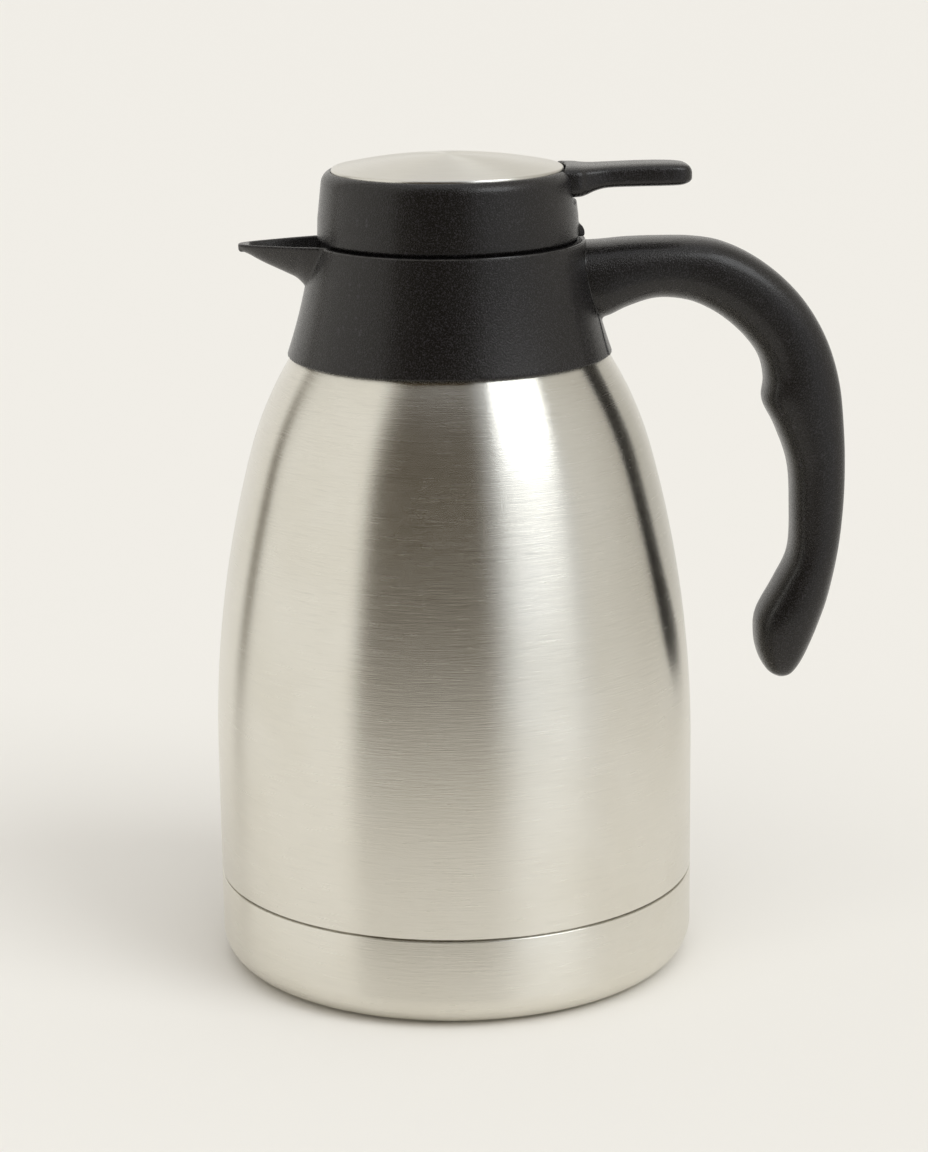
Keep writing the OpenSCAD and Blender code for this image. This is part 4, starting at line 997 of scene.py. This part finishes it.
def rod(name, r, start, end, segments=48):
    """A round bar between two points."""
    start, end = Vector(start), Vector(end)
    turn_to = (end - start).to_track_quat("Z", "Y")
    ring = [turn_to @ Vector((r * cos(a), r * sin(a), 0)) for a in circle(segments)]
    return skinned(name, [[tuple(at + point) for point in ring] for at in (start, end)])


lever = skinned("lever_moulding", [lever_ring(s) for s in smoothed(LEVER_STATIONS, 6)])
clear = drum("clear", DISC_R + 0.55, disc_seat - 1, cap_top + 9)
arm = prism("arm", [
    (PIVOT_X, -LEVER_ROOT_W + 2), (PIVOT_X, LEVER_ROOT_W - 2), (8, FORK_OUT), (-4, FORK_OUT),
    (-4, FORK_IN), (5, FORK_IN), (5, -FORK_IN), (-4, -FORK_IN), (-4, -FORK_OUT), (8, -FORK_OUT)
], pivot_z - 4, 2.3, axis="Z")


def cross_rod(name, r, x, z, start, end):
    """A rod across the lever, along Y."""
    return rod(name, r, (x, start, z), (x, end, z))


crest_z = pivot_z - 2.4
bore_end = LEVER_ROOT_W + 1
carved(lever, ("DIFFERENCE", clear),
       ("UNION", cross_rod("knuckle", KNUCKLE_R, PIVOT_X, pivot_z, -LEVER_ROOT_W, LEVER_ROOT_W)),
       ("UNION", arm),
       ("UNION", cross_rod("crest", CREST_R, 0, crest_z, -FORK_OUT, -FORK_IN)),
       ("UNION", cross_rod("crest", CREST_R, 0, crest_z, FORK_IN, FORK_OUT)),
       ("DIFFERENCE", cross_rod("bore", PIN_BORE_R, PIVOT_X, pivot_z, -bore_end, bore_end)))
moulded(lever, 0.35, 3)
dressed(lever, matt_black, "lever", "black_plastic", "thumb_lever")


# Plug, valve seat and valve: mid-grey moulded plastic with silicone rings, seen when the stopper is lifted
# out. The solids are the CAD's own.
def grey_moulding(name, tone, rough, grain):
    """Smooth moulded plastic or silicone: a slight mottle, fine haze and a soft grain."""
    made, tree, plastic, spot = shaded(name)
    haze = noise(tree, spot, scale=80, detail=3)
    grit = noise(tree, spot, scale=grain, detail=2)
    tree.links.new(
        ramp(tree, haze, [(0.3, dimmed(tone, 0.88)), (0.7, tone)]), plastic.inputs["Base Color"])
    textured(tree, plastic, grit, rough - 0.05, 0.1, 0.2, 0.00004)
    return made


repaint(grey_moulding("grey_plastic", (0.12, 0.12, 0.125), 0.42, 1800),
        "stopper_plug", "valve_seat", "valve_poppet")
repaint(grey_moulding("clear_grey_silicone", (0.60, 0.585, 0.55), 0.5, 1200),
        "collar_gasket", "stopper_seal", "poppet_seal")
